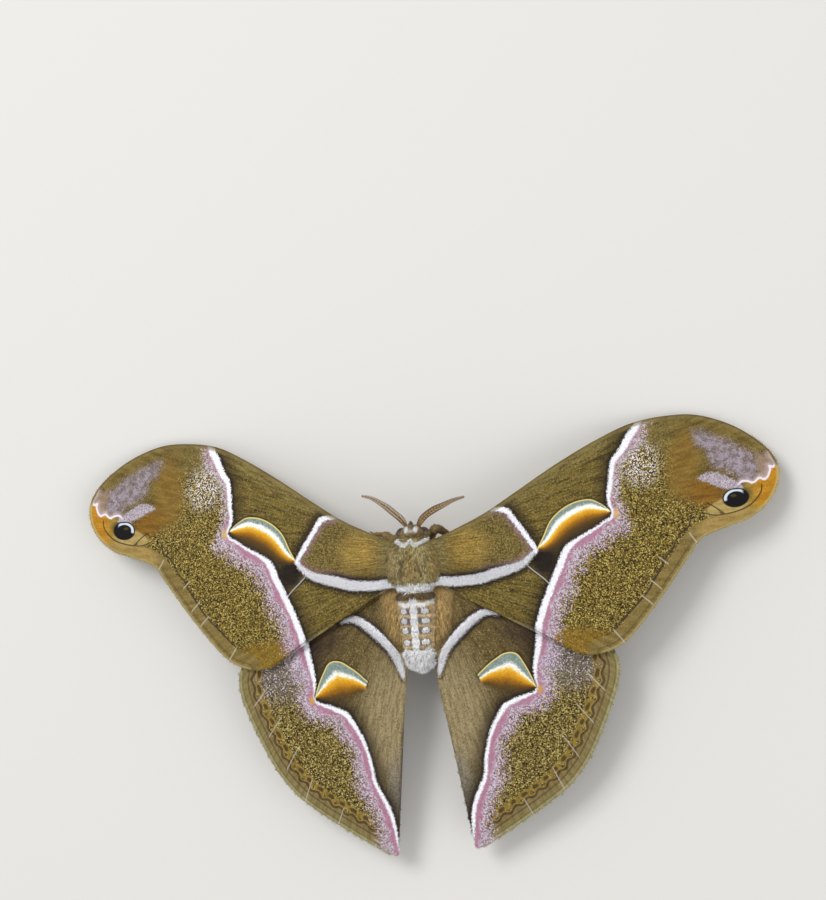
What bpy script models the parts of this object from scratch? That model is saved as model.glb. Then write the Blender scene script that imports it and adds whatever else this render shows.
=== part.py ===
"""Ailanthus silkmoth: a still, life-size model standing on six feet with its wings spread flat.

The moth is laid out in its own frame, in metres: +X to its right side, +Y towards its head, +Z up,
with the middle of the thorax at zero. At the end the whole model is moved so that the feet stand on
z = 0 and the origin lies under the middle of its bounding box.
"""

import math

import bmesh
import bpy
from mathutils import Matrix, Vector
from mathutils.geometry import delaunay_2d_cdt

MM = 0.001

# Driving sizes of the body, in millimetres
BODY_HEIGHT = 11.0          # middle of the thorax above the floor
PIECE_GAP = 0.3             # clearance between pieces that touch
THORAX_CENTRE = (0.0, -1.0, 0.0)
THORAX_HALF = (4.7, 5.0, 4.2)
THORAX_BOXINESS = 2.7       # 2 is an ellipsoid, higher has squarer shoulders
HEAD_CENTRE = (0.0, 3.9, -0.2)
HEAD_HALF = (2.2, 2.1, 2.1)
HEAD_BOXINESS = 2.3
EYE_RADIUS = 1.25
EYE_CENTRE = (2.0, 4.4, -0.1)
PALP_ROUTE = ((0.65, 4.8, -1.2), (0.75, 6.0, -1.9), (0.8, 6.5, -2.9))
PALP_RADIUS = 0.5
PALP_TIP_RADIUS = 0.34
ABDOMEN_FRONT = -5.2
ABDOMEN_LENGTH = 15.3
ABDOMEN_RADIUS = 3.7
ABDOMEN_SEGMENTS = 7
ABDOMEN_GROOVE = 0.13
ABDOMEN_TAPER = 0.32        # share of the radius lost towards the tail
ABDOMEN_TAPER_POWER = 2.2
ABDOMEN_BLUNTNESS = 12      # the higher, the blunter the tail end
ABDOMEN_WAIST = 0.86        # share of the radius where it meets the thorax
ABDOMEN_WAIST_GROWTH = 0.9
ROWS_PER_SEGMENT = 4
ABDOMEN_SIDES = 20
ABDOMEN_HEIGHT = -0.2
ABDOMEN_DROP = 3.0          # degrees that the tail hangs below level

# Antennae: a bent shaft with a row of rays on each side, the right one held further out
ANTENNA_ROUTES = {
    "right": ((0.7, 5.2, 0.2), (2.2, 7.3, 0.7), (4.1, 8.6, 1.0), (6.2, 9.5, 1.1), (8.1, 10.3, 0.8),
              (10.1, 10.8, 0.4)),
    "left": ((0.6, 5.2, 0.2), (1.7, 7.2, 0.7), (2.9, 8.4, 1.0), (4.6, 9.9, 1.1), (7.0, 11.4, 0.8),
             (9.1, 12.0, 0.4)),
}
ANTENNA_RADIUS = 0.28
ANTENNA_TIP_RADIUS = 0.14
ANTENNA_STEP = 0.9          # distance between points along the shaft
RAYS_PER_SIDE = 12
FIRST_RAY = 0.14            # place of the first and last ray, as shares of the shaft
LAST_RAY = 0.95
RAY_LENGTH = 0.72           # near the ends of the shaft, and this much more in its middle
RAY_GROWTH = 0.22
RAY_ROOT_SHARE = 0.82       # a ray's root radius as a share of the shaft's radius there
RAY_TIP_RADIUS = 0.08
RAY_SWEEP = 58.0            # degrees between a ray and the shaft

# Wings
WING_THICKNESS = 0.5
VEIN_RISE = 0.22            # height of a vein above each face of the wing
VEIN_HALF_WIDTH = 0.5
VEIN_STEP = 3.2             # distance between points along a vein
MARGIN_STEP = 2.3           # distance between points round the outline
LATTICE_STEP = 4.6          # distance between the points that fill the membrane
BORDER_CLEARANCE = 1.6      # least distance from such a point to the outline
CREST_CLEARANCE = 1.7       # and to the middle line of a vein
NET_TOLERANCE = 0.05        # points closer than this are one
SIDE_SPREAD = 0.013         # the right pair reaches this share further out, the left pair less
SIDE_LENGTH = 0.010         # and the left pair is this share longer from front to back
FOREWING_ROOT_HEIGHT = 1.3
FOREWING_TIP_DROP = 5.5     # how far it hangs 60 mm from the middle
FOREWING_FRONT_DROP = 6.0   # 24 mm ahead of its fold
FOREWING_REAR_DROP = 0.6    # 15 mm behind its fold
FOREWING_FOLD = -10.75      # where the fold meets the body's middle line
FOREWING_FOLD_SLOPE = 0.16
HINDWING_ROOT_HEIGHT = -0.7
HINDWING_TAIL_DROP = 4.4    # 40 mm behind its fold
HINDWING_SIDE_DROP = 2.1    # 40 mm from the middle
HINDWING_FOLD = -12.75

# Outline of the right forewing seen from above: leading edge, rounded tip, hollow outer edge, rear
FOREWING_OUTLINE = (
    (1.5, 2.2), (4.5, 3.6), (9.0, 5.6), (13.5, 7.8), (19.5, 11.6), (26.0, 15.8), (33.0, 19.8),
    (39.5, 22.7), (46.0, 23.7), (51.5, 23.4), (57.5, 21.1), (62.3, 17.6), (64.8, 14.2),
    (65.1, 10.8), (63.4, 7.2), (60.0, 4.3), (55.5, 2.7), (51.3, 1.0), (48.8, -2.2),
    (45.2, -7.2), (41.2, -12.3), (37.0, -16.8), (33.0, -18.6), (29.0, -18.6), (25.5, -16.7),
    (22.0, -13.9), (18.0, -11.7), (13.5, -9.9), (9.0, -7.3), (5.2, -4.8), (1.5, -3.2),
)
FOREWING_VEINS = (
    ((3.5, 2.3), (14.0, 6.6), (26.5, 14.4), (38.0, 20.6), (45.5, 22.6)),
    ((3.5, 1.2), (16.0, 5.8), (30.0, 12.8), (43.0, 18.8), (56.2, 20.6)),
    ((33.5, 14.4), (46.0, 16.6), (56.0, 15.6), (64.0, 12.2)),
    ((33.5, 11.6), (45.0, 11.4), (54.0, 8.6), (60.8, 5.8)),
    ((35.6, 7.6), (43.0, 5.8), (51.0, 1.8)),
    ((33.0, 2.6), (40.0, -0.8), (46.2, -4.8)),
    ((3.5, 0.0), (14.0, -0.4), (23.0, -1.2), (33.0, -4.6), (41.5, -10.4)),
    ((20.0, -1.6), (28.5, -8.0), (36.0, -16.2)),
    ((3.5, -1.4), (12.5, -5.2), (21.5, -10.4), (28.0, -15.6), (30.6, -17.8)),
    ((33.5, 12.6), (36.2, 7.6), (32.5, 2.2), (27.0, -2.0)),
)
# Outline of the right hindwing: hidden leading edge, rounded corner, pointed tail end, inner edge
HINDWING_OUTLINE = (
    (1.5, -3.0), (6.0, -4.2), (12.0, -6.2), (20.0, -9.2), (27.5, -12.4), (32.8, -15.6),
    (35.2, -19.2), (35.4, -23.0), (34.0, -27.5), (31.9, -32.5), (29.2, -37.8), (25.8, -42.2),
    (21.5, -45.7), (17.0, -48.7), (12.5, -51.6), (9.4, -53.4), (7.4, -53.8), (6.9, -51.0),
    (6.3, -46.0), (5.5, -39.0), (4.5, -31.5), (3.4, -25.5), (2.8, -21.0), (2.2, -17.0),
    (1.6, -12.0), (1.5, -7.0),
)
HINDWING_VEINS = (
    ((4.0, -4.6), (14.0, -8.6), (25.0, -13.6), (33.8, -19.4)),
    ((4.0, -5.4), (15.0, -11.6), (25.5, -18.6), (33.8, -26.0)),
    ((17.0, -13.6), (24.5, -22.5), (31.0, -32.4)),
    ((18.6, -18.6), (22.5, -28.5), (27.0, -39.6)),
    ((16.0, -24.0), (18.5, -34.0), (21.0, -44.6)),
    ((4.0, -6.6), (9.5, -15.5), (12.5, -30.0), (14.4, -49.2)),
    ((4.2, -9.0), (6.2, -19.0), (7.6, -36.0), (8.8, -52.0)),
)

# Legs: hip, thigh, knee, ankle and toe of each right leg, from the middle of the thorax
LEGS = {
    "fore": ((1.6, 2.0, -2.4), (2.6, 2.6, -4.4), (5.4, 4.2, -3.5), (7.0, 4.6, -8.6), (10.2, 4.8)),
    "mid": ((2.2, -1.2, -2.4), (3.4, -1.6, -4.6), (7.2, -3.2, -3.6), (9.0, -4.2, -8.6), (12.2, -5.4)),
    "hind": ((2.0, -4.0, -2.2), (2.9, -5.0, -4.5), (5.0, -10.0, -3.9), (5.8, -13.4, -8.6), (6.8, -17.4)),
}
# The right fore leg is drawn up, so that its knee shows between the eye and the wing
RAISED_FORE_LEG = ((1.6, 2.2, -2.4), (2.5, 3.7, -4.0), (3.9, 5.4, -1.9), (5.0, 4.0, -8.4), (8.2, 2.6))
LEG_RADII = (0.85, 0.8, 0.72, 0.5, 0.36)
FOOT_AXIS_HEIGHT = 0.26     # the toe's middle line above the floor, less than its radius
FOOT_LENGTH = 3.2
LEG_STEP = 1.1              # distance between points along a leg

COLOURS = {
    "head": (0.20, 0.13, 0.06, 1.0),
    "eye": (0.03, 0.01, 0.008, 1.0),
    "antenna": (0.33, 0.17, 0.05, 1.0),
    "thorax": (0.25, 0.20, 0.11, 1.0),
    "abdomen": (0.55, 0.45, 0.30, 1.0),
    "forewing": (0.19, 0.15, 0.07, 1.0),
    "hindwing": (0.17, 0.14, 0.07, 1.0),
    "leg": (0.24, 0.16, 0.08, 1.0),
}
ROUGHNESS = {"eye": 0.25}
PLAIN_ROUGHNESS = 0.85


def start_empty():
    """Clear the scene and make the collections for the parts and for the cutters."""
    for old in list(bpy.data.objects):
        bpy.data.objects.remove(old, do_unlink=True)
    parts = bpy.data.collections.new("ailanthus_silkmoth")
    cutters = bpy.data.collections.new("cutters")
    bpy.context.scene.collection.children.link(parts)
    bpy.context.scene.collection.children.link(cutters)
    return parts, cutters


def finish_for(name):
    """One plain finish for each kind of sub-part."""
    kind = name.split("_")[0]
    found = bpy.data.materials.get(kind)
    if found:
        return found
    material = bpy.data.materials.new(kind)
    material.use_nodes = True
    shader = material.node_tree.nodes["Principled BSDF"]
    shader.inputs["Base Color"].default_value = COLOURS[kind]
    shader.inputs["Roughness"].default_value = ROUGHNESS.get(kind, PLAIN_ROUGHNESS)
    shader.inputs["Metallic"].default_value = 0.0
    return material


def new_object(name, mesh, collection):
    """Link a mesh as a named object in a collection."""
    made = bpy.data.objects.new(name, mesh)
    collection.objects.link(made)
    return made


def mesh_from(bm, name):
    """Turn a bmesh into a mesh with its faces pointing outwards."""
    bmesh.ops.recalc_face_normals(bm, faces=bm.faces[:])
    mesh = bpy.data.meshes.new(name)
    bm.to_mesh(mesh)
    bm.free()
    return mesh


def apply_modifiers(piece):
    """Replace an object's mesh by its evaluated one, and drop its modifiers."""
    bpy.context.view_layer.update()
    evaluated = piece.evaluated_get(bpy.context.evaluated_depsgraph_get())
    mesh = bpy.data.meshes.new_from_object(evaluated)
    piece.modifiers.clear()
    piece.data = mesh


def keep_largest(piece):
    """Keep the largest closed surface of a cut or joined piece."""
    bm = bmesh.new()
    bm.from_mesh(piece.data)
    seen = set()
    shells = []
    for face in bm.faces:
        if face in seen:
            continue
        shell = []
        waiting = [face]
        seen.add(face)
        while waiting:
            current = waiting.pop()
            shell.append(current)
            for edge in current.edges:
                for near in edge.link_faces:
                    if near not in seen:
                        seen.add(near)
                        waiting.append(near)
        shells.append(shell)
    shells.sort(key=lambda shell: sum(face.calc_area() for face in shell), reverse=True)
    spare = [face for shell in shells[1:] for face in shell]
    if spare:
        bmesh.ops.delete(bm, geom=spare, context="FACES")
    bmesh.ops.triangulate(bm, faces=[face for face in bm.faces if len(face.verts) > 4])
    bm.to_mesh(piece.data)
    bm.free()


def cut(piece, rooms):
    """Cut a piece back to the room that its neighbours need."""
    for room in rooms:
        step = piece.modifiers.new("room", "BOOLEAN")
        step.operation = "DIFFERENCE"
        step.solver = "EXACT"
        step.object = room
    apply_modifiers(piece)
    keep_largest(piece)


def join_all(piece, others):
    """Fuse closed meshes into one body with a single union."""
    group = bpy.data.collections.new("to_join")
    bpy.context.scene.collection.children.link(group)
    for other in others:
        group.objects.link(other)
    step = piece.modifiers.new("union", "BOOLEAN")
    step.operation = "UNION"
    step.solver = "EXACT"
    step.operand_type = "COLLECTION"
    step.collection = group
    apply_modifiers(piece)
    for other in others:
        bpy.data.objects.remove(other, do_unlink=True)
    bpy.data.collections.remove(group)
    keep_largest(piece)


def dress(piece, smooth=True):
    """Give a piece its finish, and shade its round faces smooth."""
    piece.data.materials.clear()
    piece.data.materials.append(finish_for(piece.name))
    if smooth:
        piece.data.shade_smooth()
        piece.data.set_sharp_from_angle(angle=math.radians(50.0))


def rounded_form(name, centre, half, boxiness, collection, extra=0.0, across=24, rings=16):
    """A soft egg-like form between an ellipsoid and a rounded box."""
    bm = bmesh.new()
    bmesh.ops.create_uvsphere(bm, u_segments=across, v_segments=rings, radius=1.0)
    bmesh.ops.rotate(bm, verts=bm.verts[:], cent=(0, 0, 0), matrix=Matrix.Rotation(math.pi / 2, 3, "X"))
    size = [(value + extra) * MM for value in half]
    for vert in bm.verts:
        reach = sum(abs(value) ** boxiness for value in vert.co) ** (1.0 / boxiness)
        unit = vert.co / reach
        vert.co = Vector([unit[i] * size[i] + centre[i] * MM for i in range(3)])
    return new_object(name, mesh_from(bm, name), collection)


def smooth_route(points, step, closed=False):
    """Points a step apart along a smooth curve through the given points, in the same units."""
    places = [Vector(point) for point in points]
    count = len(places)
    spans = count if closed else count - 1
    route = []
    for index in range(spans):
        if closed:
            before, start, end, after = (places[(index + k) % count] for k in (-1, 0, 1, 2))
        else:
            start, end = places[index], places[index + 1]
            before = places[index - 1] if index else start * 2 - end
            after = places[index + 2] if index + 2 < count else end * 2 - start
        pieces = max(1, round((end - start).length / step))
        for k in range(pieces):
            t = k / pieces
            route.append(0.5 * (2 * start + (end - before) * t
                                + (2 * before - 5 * start + 4 * end - after) * t * t
                                + (3 * start - before - 3 * end + after) * t ** 3))
    if not closed:
        route.append(places[-1])
    return route


def tapered(first, last, count):
    """Radii that change evenly from the first to the last."""
    return [first + (last - first) * k / (count - 1) for k in range(count)]


def tube(name, route, radii, collection):
    """A round tube along a route with a radius at each point, as a closed mesh. Sizes in mm."""
    curve = bpy.data.curves.new(name, "CURVE")
    curve.dimensions = "3D"
    curve.bevel_depth = MM
    curve.bevel_resolution = 2
    curve.use_fill_caps = True
    spline = curve.splines.new("POLY")
    spline.points.add(len(route) - 1)
    for point, place, radius in zip(spline.points, route, radii):
        point.co = (place[0] * MM, place[1] * MM, place[2] * MM, 1.0)
        point.radius = radius
    guide = new_object(name + "_curve", curve, collection)
    bpy.context.view_layer.update()
    evaluated = guide.evaluated_get(bpy.context.evaluated_depsgraph_get())
    mesh = bpy.data.meshes.new_from_object(evaluated)
    made = new_object(name, mesh, collection)
    made.matrix_world = guide.matrix_world
    bpy.data.objects.remove(guide, do_unlink=True)
    bm = bmesh.new()
    bm.from_mesh(made.data)
    bmesh.ops.remove_doubles(bm, verts=bm.verts[:], dist=0.01 * MM)
    bmesh.ops.recalc_face_normals(bm, faces=bm.faces[:])
    bm.to_mesh(made.data)
    bm.free()
    return made


def mirrored(point, side):
    """A point of the right side, or its mirror image on the left."""
    return Vector((point[0] * side, point[1], point[2]))


def build_thorax(parts):
    thorax = rounded_form("thorax", THORAX_CENTRE, THORAX_HALF, THORAX_BOXINESS, parts)
    dress(thorax)


def abdomen_mesh(name, extra, collection):
    """A turned form with shallow grooves between its rings, lying along Y."""
    rows = ABDOMEN_SEGMENTS * ROWS_PER_SEGMENT
    shares = [row / rows for row in range(rows)] + [0.985, 1.0]
    profile = [(0.0, 0.0)]
    for row, share in enumerate(shares):
        swell = (1.0 - ABDOMEN_TAPER * share ** ABDOMEN_TAPER_POWER)
        swell *= (1.0 - share ** ABDOMEN_BLUNTNESS) ** 0.5
        swell *= min(1.0, ABDOMEN_WAIST + ABDOMEN_WAIST_GROWTH * share)
        groove = ABDOMEN_GROOVE if row % ROWS_PER_SEGMENT == 0 and row < rows else 0.0
        profile.append((ABDOMEN_RADIUS * swell - groove + extra, ABDOMEN_LENGTH * share))
    profile[-1] = (0.0, ABDOMEN_LENGTH + extra)
    bm = bmesh.new()
    chain = [bm.verts.new((radius * MM, 0.0, -reach * MM)) for radius, reach in profile]
    for start, end in zip(chain, chain[1:]):
        bm.edges.new((start, end))
    mesh = bpy.data.meshes.new(name)
    bm.to_mesh(mesh)
    bm.free()
    turned = new_object(name, mesh, collection)
    screw = turned.modifiers.new("turn", "SCREW")
    screw.axis = "Z"
    screw.steps = ABDOMEN_SIDES
    screw.render_steps = ABDOMEN_SIDES
    screw.use_merge_vertices = True
    screw.merge_threshold = 0.00002
    apply_modifiers(turned)
    tilt = Matrix.Rotation(-math.pi / 2 + math.radians(ABDOMEN_DROP), 4, "X")
    place = Matrix.Translation((0.0, ABDOMEN_FRONT * MM, ABDOMEN_HEIGHT * MM))
    turned.data.transform(place @ tilt)
    bm = bmesh.new()
    bm.from_mesh(turned.data)
    bmesh.ops.recalc_face_normals(bm, faces=bm.faces[:])
    bm.to_mesh(turned.data)
    bm.free()
    return turned


def build_abdomen(parts, thorax_room):
    abdomen = abdomen_mesh("abdomen", 0.0, parts)
    cut(abdomen, [thorax_room])
    dress(abdomen)


def build_head(parts, thorax_room):
    head = rounded_form("head", HEAD_CENTRE, HEAD_HALF, HEAD_BOXINESS, parts, across=20, rings=12)
    palps = []
    for side in (1, -1):
        route = smooth_route([mirrored(point, side) for point in PALP_ROUTE], 0.6)
        radii = tapered(PALP_RADIUS, PALP_TIP_RADIUS, len(route))
        palps.append(tube("palp", route, radii, parts))
    join_all(head, palps)
    cut(head, [thorax_room])
    dress(head)


def build_eye(parts, head_room, thorax_room, label, side):
    centre = mirrored(EYE_CENTRE, side)
    eye = rounded_form("eye_" + label, centre, (EYE_RADIUS,) * 3, 2.0, parts, across=16, rings=10)
    cut(eye, [head_room, thorax_room])
    dress(eye)


def build_antenna(parts, head_room, label, side):
    """A tapering shaft with a comb of rays on each side, fused into one body."""
    route = smooth_route([mirrored(point, side) for point in ANTENNA_ROUTES[label]], ANTENNA_STEP)
    last = len(route) - 1
    radii = tapered(ANTENNA_RADIUS, ANTENNA_TIP_RADIUS, len(route))
    shaft = tube("antenna_" + label, route, radii, parts)
    rays = []
    for k in range(RAYS_PER_SIDE):
        share = FIRST_RAY + (LAST_RAY - FIRST_RAY) * k / (RAYS_PER_SIDE - 1)
        index = share * last
        low = int(index)
        root = route[low].lerp(route[low + 1], index - low)
        along = (route[low + 1] - route[low]).normalized()
        across = along.cross(Vector((0, 0, 1))).normalized()
        root_radius = (radii[low] + (radii[low + 1] - radii[low]) * (index - low)) * RAY_ROOT_SHARE
        length = RAY_LENGTH + RAY_GROWTH * math.sin(math.pi * share)
        for turn in (1, -1):
            sweep = math.radians(RAY_SWEEP)
            way = along * math.cos(sweep) + across * turn * math.sin(sweep)
            bm = bmesh.new()
            bmesh.ops.create_cone(bm, cap_ends=True, segments=6, radius1=root_radius * MM,
                                  radius2=RAY_TIP_RADIUS * MM, depth=length * MM)
            spin = way.to_track_quat("Z", "Y").to_matrix().to_4x4()
            place = Matrix.Translation((root + way * (length / 2)) * MM)
            bmesh.ops.transform(bm, matrix=place @ spin, verts=bm.verts[:])
            rays.append(new_object("ray", mesh_from(bm, "ray"), parts))
    join_all(shaft, rays)
    cut(shaft, [head_room])
    dress(shaft)


def forewing_height(x, y):
    """Height of the forewing's middle surface: level at its root, hanging at the tip and in front."""
    fold = FOREWING_FOLD + FOREWING_FOLD_SLOPE * x
    ahead = max(y - fold, 0.0)
    behind = max(fold - y, 0.0)
    front_drop = FOREWING_FRONT_DROP * (ahead / 24) ** 2 * min(x / 40, 1.0)
    rear_drop = FOREWING_REAR_DROP * (behind / 15) ** 2
    return FOREWING_ROOT_HEIGHT - FOREWING_TIP_DROP * (x / 60) ** 2 - front_drop - rear_drop


def hindwing_height(x, y):
    """Height of the hindwing's middle surface: below the forewing, hanging towards its tail end."""
    behind = max(HINDWING_FOLD - y, 0.0)
    tail_drop = HINDWING_TAIL_DROP * (behind / 40) ** 2
    return HINDWING_ROOT_HEIGHT - tail_drop - HINDWING_SIDE_DROP * (x / 40) ** 2


def distance_to_route(place, route):
    """Shortest distance from a flat point to a chain of points."""
    best = 1e9
    for start, end in zip(route, route[1:]):
        along = end - start
        share = max(0.0, min(1.0, (place - start).dot(along) / along.length_squared))
        best = min(best, (place - start - along * share).length)
    return best


def inside(place, loop):
    """Whether a flat point lies inside a closed outline."""
    odd = False
    for start, end in zip(loop, loop[1:] + loop[:1]):
        if (start.y > place.y) != (end.y > place.y):
            cross = start.x + (place.y - start.y) * (end.x - start.x) / (end.y - start.y)
            if cross > place.x:
                odd = not odd
    return odd


def wing_net(outline, vein_routes):
    """Flat triangles of a wing, with edges along its outline and along the feet and crest of each vein."""
    loop = smooth_route(outline, MARGIN_STEP, closed=True)
    crests = [smooth_route(route, VEIN_STEP) for route in vein_routes]
    points = list(loop)
    edges = [(k, (k + 1) % len(loop)) for k in range(len(loop))]
    for crest in crests:
        for offset in (-VEIN_HALF_WIDTH, 0.0, VEIN_HALF_WIDTH):
            first = len(points)
            for k, place in enumerate(crest):
                ahead = crest[min(k + 1, len(crest) - 1)] - crest[max(k - 1, 0)]
                side = Vector((-ahead.y, ahead.x)).normalized()
                points.append(place + side * offset)
            edges += [(first + k, first + k + 1) for k in range(len(crest) - 1)]
    closed_loop = loop + loop[:1]
    left, right = min(p.x for p in loop), max(p.x for p in loop)
    low, high = min(p.y for p in loop), max(p.y for p in loop)
    row_step = LATTICE_STEP * math.sqrt(0.75)
    for row in range(int((high - low) / row_step) + 1):
        for column in range(int((right - left) / LATTICE_STEP) + 1):
            place = Vector((left + (column + 0.5 * (row % 2)) * LATTICE_STEP, low + row * row_step))
            if not inside(place, loop) or distance_to_route(place, closed_loop) < BORDER_CLEARANCE:
                continue
            if min(distance_to_route(place, crest) for crest in crests) > CREST_CLEARANCE:
                points.append(place)
    flat, _, faces, _, _, _ = delaunay_2d_cdt(points, edges, [], 1, NET_TOLERANCE)
    return flat, faces, crests


def build_wing(parts, rooms, kind, label, side, outline, vein_routes, height):
    """A curved sheet with ridged veins, thickened to both sides and cut back to the body."""
    flat, faces, crests = wing_net([Vector(point) for point in outline],
                                   [[Vector(point) for point in route] for route in vein_routes])
    bm = bmesh.new()
    ridge = bm.verts.layers.deform.verify()
    for place in flat:
        x = place.x * (1.0 + SIDE_SPREAD * side)
        y = place.y * (1.0 - SIDE_LENGTH * side)
        vert = bm.verts.new((x * side * MM, y * MM, height(place.x, place.y) * MM))
        nearest = min(distance_to_route(place, crest) for crest in crests)
        vert[ridge][0] = max(0.0, 1.0 - nearest / VEIN_HALF_WIDTH)
    bm.verts.ensure_lookup_table()
    for face in faces:
        order = face if side > 0 else list(reversed(face))
        bm.faces.new([bm.verts[index] for index in order])
    mesh = bpy.data.meshes.new(kind)
    bm.to_mesh(mesh)
    bm.free()
    wing = new_object(kind + "_" + label, mesh, parts)
    wing.vertex_groups.new(name="vein")
    crest_thickness = WING_THICKNESS + 2 * VEIN_RISE
    thicken = wing.modifiers.new("thickness", "SOLIDIFY")
    thicken.thickness = crest_thickness * MM
    thicken.offset = 0.0
    thicken.vertex_group = "vein"
    thicken.thickness_vertex_group = WING_THICKNESS / crest_thickness
    apply_modifiers(wing)
    cut(wing, rooms)
    dress(wing, smooth=False)


def build_leg(parts, thorax_room, pair, label, side):
    """Thigh, shin and a toe that lies on the floor with a small flat under it."""
    raised = (pair, label) == ("fore", "right")
    hip, thigh, knee, ankle, toe = RAISED_FORE_LEG if raised else LEGS[pair]
    floor = FOOT_AXIS_HEIGHT - BODY_HEIGHT
    ankle = Vector(ankle)
    toe = Vector((toe[0], toe[1], floor))
    heel = toe - (toe - ankle * Vector((1, 1, 0)) - Vector((0, 0, floor))).normalized() * FOOT_LENGTH
    heel.z = floor
    bones = [Vector(hip), Vector(thigh), Vector(knee), ankle, heel, toe]
    route = smooth_route([mirrored(point, side) for point in bones], LEG_STEP)
    last = len(route) - 1
    radii = []
    for k in range(last + 1):
        place = k / last * (len(LEG_RADII) - 1)
        low = min(int(place), len(LEG_RADII) - 2)
        radii.append(LEG_RADII[low] + (LEG_RADII[low + 1] - LEG_RADII[low]) * (place - low))
    leg = tube("leg_" + pair + "_" + label, route, radii, parts)
    bm = bmesh.new()
    bm.from_mesh(leg.data)
    sole = (0.0, 0.0, -BODY_HEIGHT * MM)
    bmesh.ops.bisect_plane(bm, geom=bm.verts[:] + bm.edges[:] + bm.faces[:], dist=0.001 * MM,
                           plane_co=sole, plane_no=(0, 0, 1), clear_inner=True)
    bmesh.ops.holes_fill(bm, edges=[edge for edge in bm.edges if edge.is_boundary], sides=0)
    bmesh.ops.recalc_face_normals(bm, faces=bm.faces[:])
    bm.to_mesh(leg.data)
    bm.free()
    cut(leg, [thorax_room])
    dress(leg)


def stand_on_floor(parts):
    """Hang every piece from one empty that brings the feet to z = 0 and the box's middle over the origin."""
    corners = [vert.co for piece in parts.objects for vert in piece.data.vertices]
    middle_x = (min(c.x for c in corners) + max(c.x for c in corners)) / 2
    middle_y = (min(c.y for c in corners) + max(c.y for c in corners)) / 2
    stance = bpy.data.objects.new("moth", None)
    bpy.context.scene.collection.objects.link(stance)
    stance.location = (-middle_x, -middle_y, BODY_HEIGHT * MM)
    for piece in list(parts.objects):
        piece.parent = stance


def main():
    parts, cutters = start_empty()
    thorax_room = rounded_form("thorax_room", THORAX_CENTRE, THORAX_HALF, THORAX_BOXINESS, cutters,
                               extra=PIECE_GAP)
    head_room = rounded_form("head_room", HEAD_CENTRE, HEAD_HALF, HEAD_BOXINESS, cutters,
                             extra=PIECE_GAP, across=20, rings=12)
    abdomen_room = abdomen_mesh("abdomen_room", PIECE_GAP, cutters)
    build_thorax(parts)
    build_abdomen(parts, thorax_room)
    build_head(parts, thorax_room)
    for label, side in (("right", 1), ("left", -1)):
        build_eye(parts, head_room, thorax_room, label, side)
        build_antenna(parts, head_room, label, side)
        build_wing(parts, [thorax_room], "forewing", label, side,
                   FOREWING_OUTLINE, FOREWING_VEINS, forewing_height)
        build_wing(parts, [thorax_room, abdomen_room], "hindwing", label, side,
                   HINDWING_OUTLINE, HINDWING_VEINS, hindwing_height)
        for pair in LEGS:
            build_leg(parts, thorax_room, pair, label, side)
    stand_on_floor(parts)
    for room in cutters.objects:
        room.hide_render = True
        room.display_type = "WIRE"


main()
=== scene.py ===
"""Looks of the ailanthus silkmoth: patterned wings, furry body, combed antennae, floor, light and camera."""
import math

import bmesh
import bpy
import numpy as np
from bpy.props import FloatProperty, FloatVectorProperty, IntProperty, PointerProperty
from mathutils import Matrix, Vector
from mathutils.bvhtree import BVHTree


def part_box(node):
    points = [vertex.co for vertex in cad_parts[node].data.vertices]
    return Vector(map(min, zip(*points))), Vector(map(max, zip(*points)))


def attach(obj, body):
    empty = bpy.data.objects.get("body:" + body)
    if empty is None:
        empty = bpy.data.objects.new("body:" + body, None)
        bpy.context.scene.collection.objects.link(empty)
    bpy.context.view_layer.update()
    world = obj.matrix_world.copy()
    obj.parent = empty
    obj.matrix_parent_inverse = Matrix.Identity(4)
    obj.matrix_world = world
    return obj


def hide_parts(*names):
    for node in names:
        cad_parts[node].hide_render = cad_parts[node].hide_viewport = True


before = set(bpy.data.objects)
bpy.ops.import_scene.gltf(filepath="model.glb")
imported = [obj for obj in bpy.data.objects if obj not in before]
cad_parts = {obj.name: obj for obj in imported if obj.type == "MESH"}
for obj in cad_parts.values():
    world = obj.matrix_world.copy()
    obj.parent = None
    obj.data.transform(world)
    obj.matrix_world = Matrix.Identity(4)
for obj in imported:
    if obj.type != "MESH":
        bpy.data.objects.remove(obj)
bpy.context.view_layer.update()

bl_info = {
    "name": "Ailanthus silkmoth looks",
    "version": (1, 0, 0),
    "blender": (4, 5, 0),
    "location": "3D View > Sidebar > Silkmoth",
    "description": "Builds the wings, fur, antennae and eyes of a life-size silkmoth around its frame",
    "category": "Object",
}

MM = 0.001
SIDES = (("right", 1), ("left", -1))
UP = np.array([0.0, 0.0, 1.0])

# The moth's own frame is in millimetres from the middle of the thorax: +X right, +Y ahead, +Z up.
# The thorax reaches from -6 to 4 mm along Y, so its box's middle lies 1 mm behind that point.
THORAX_LOW, THORAX_HIGH = (np.array(corner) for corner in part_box("thorax"))
HOME = (THORAX_LOW + THORAX_HIGH) / 2 + np.array([0.0, 1.0, 0.0]) * MM
FLOOR_LEVEL = -HOME[2] / MM

# The right pair of wings reaches a little further out, the left pair a little further back
SIDE_SPREAD = 0.013
SIDE_LENGTH = 0.010

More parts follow.
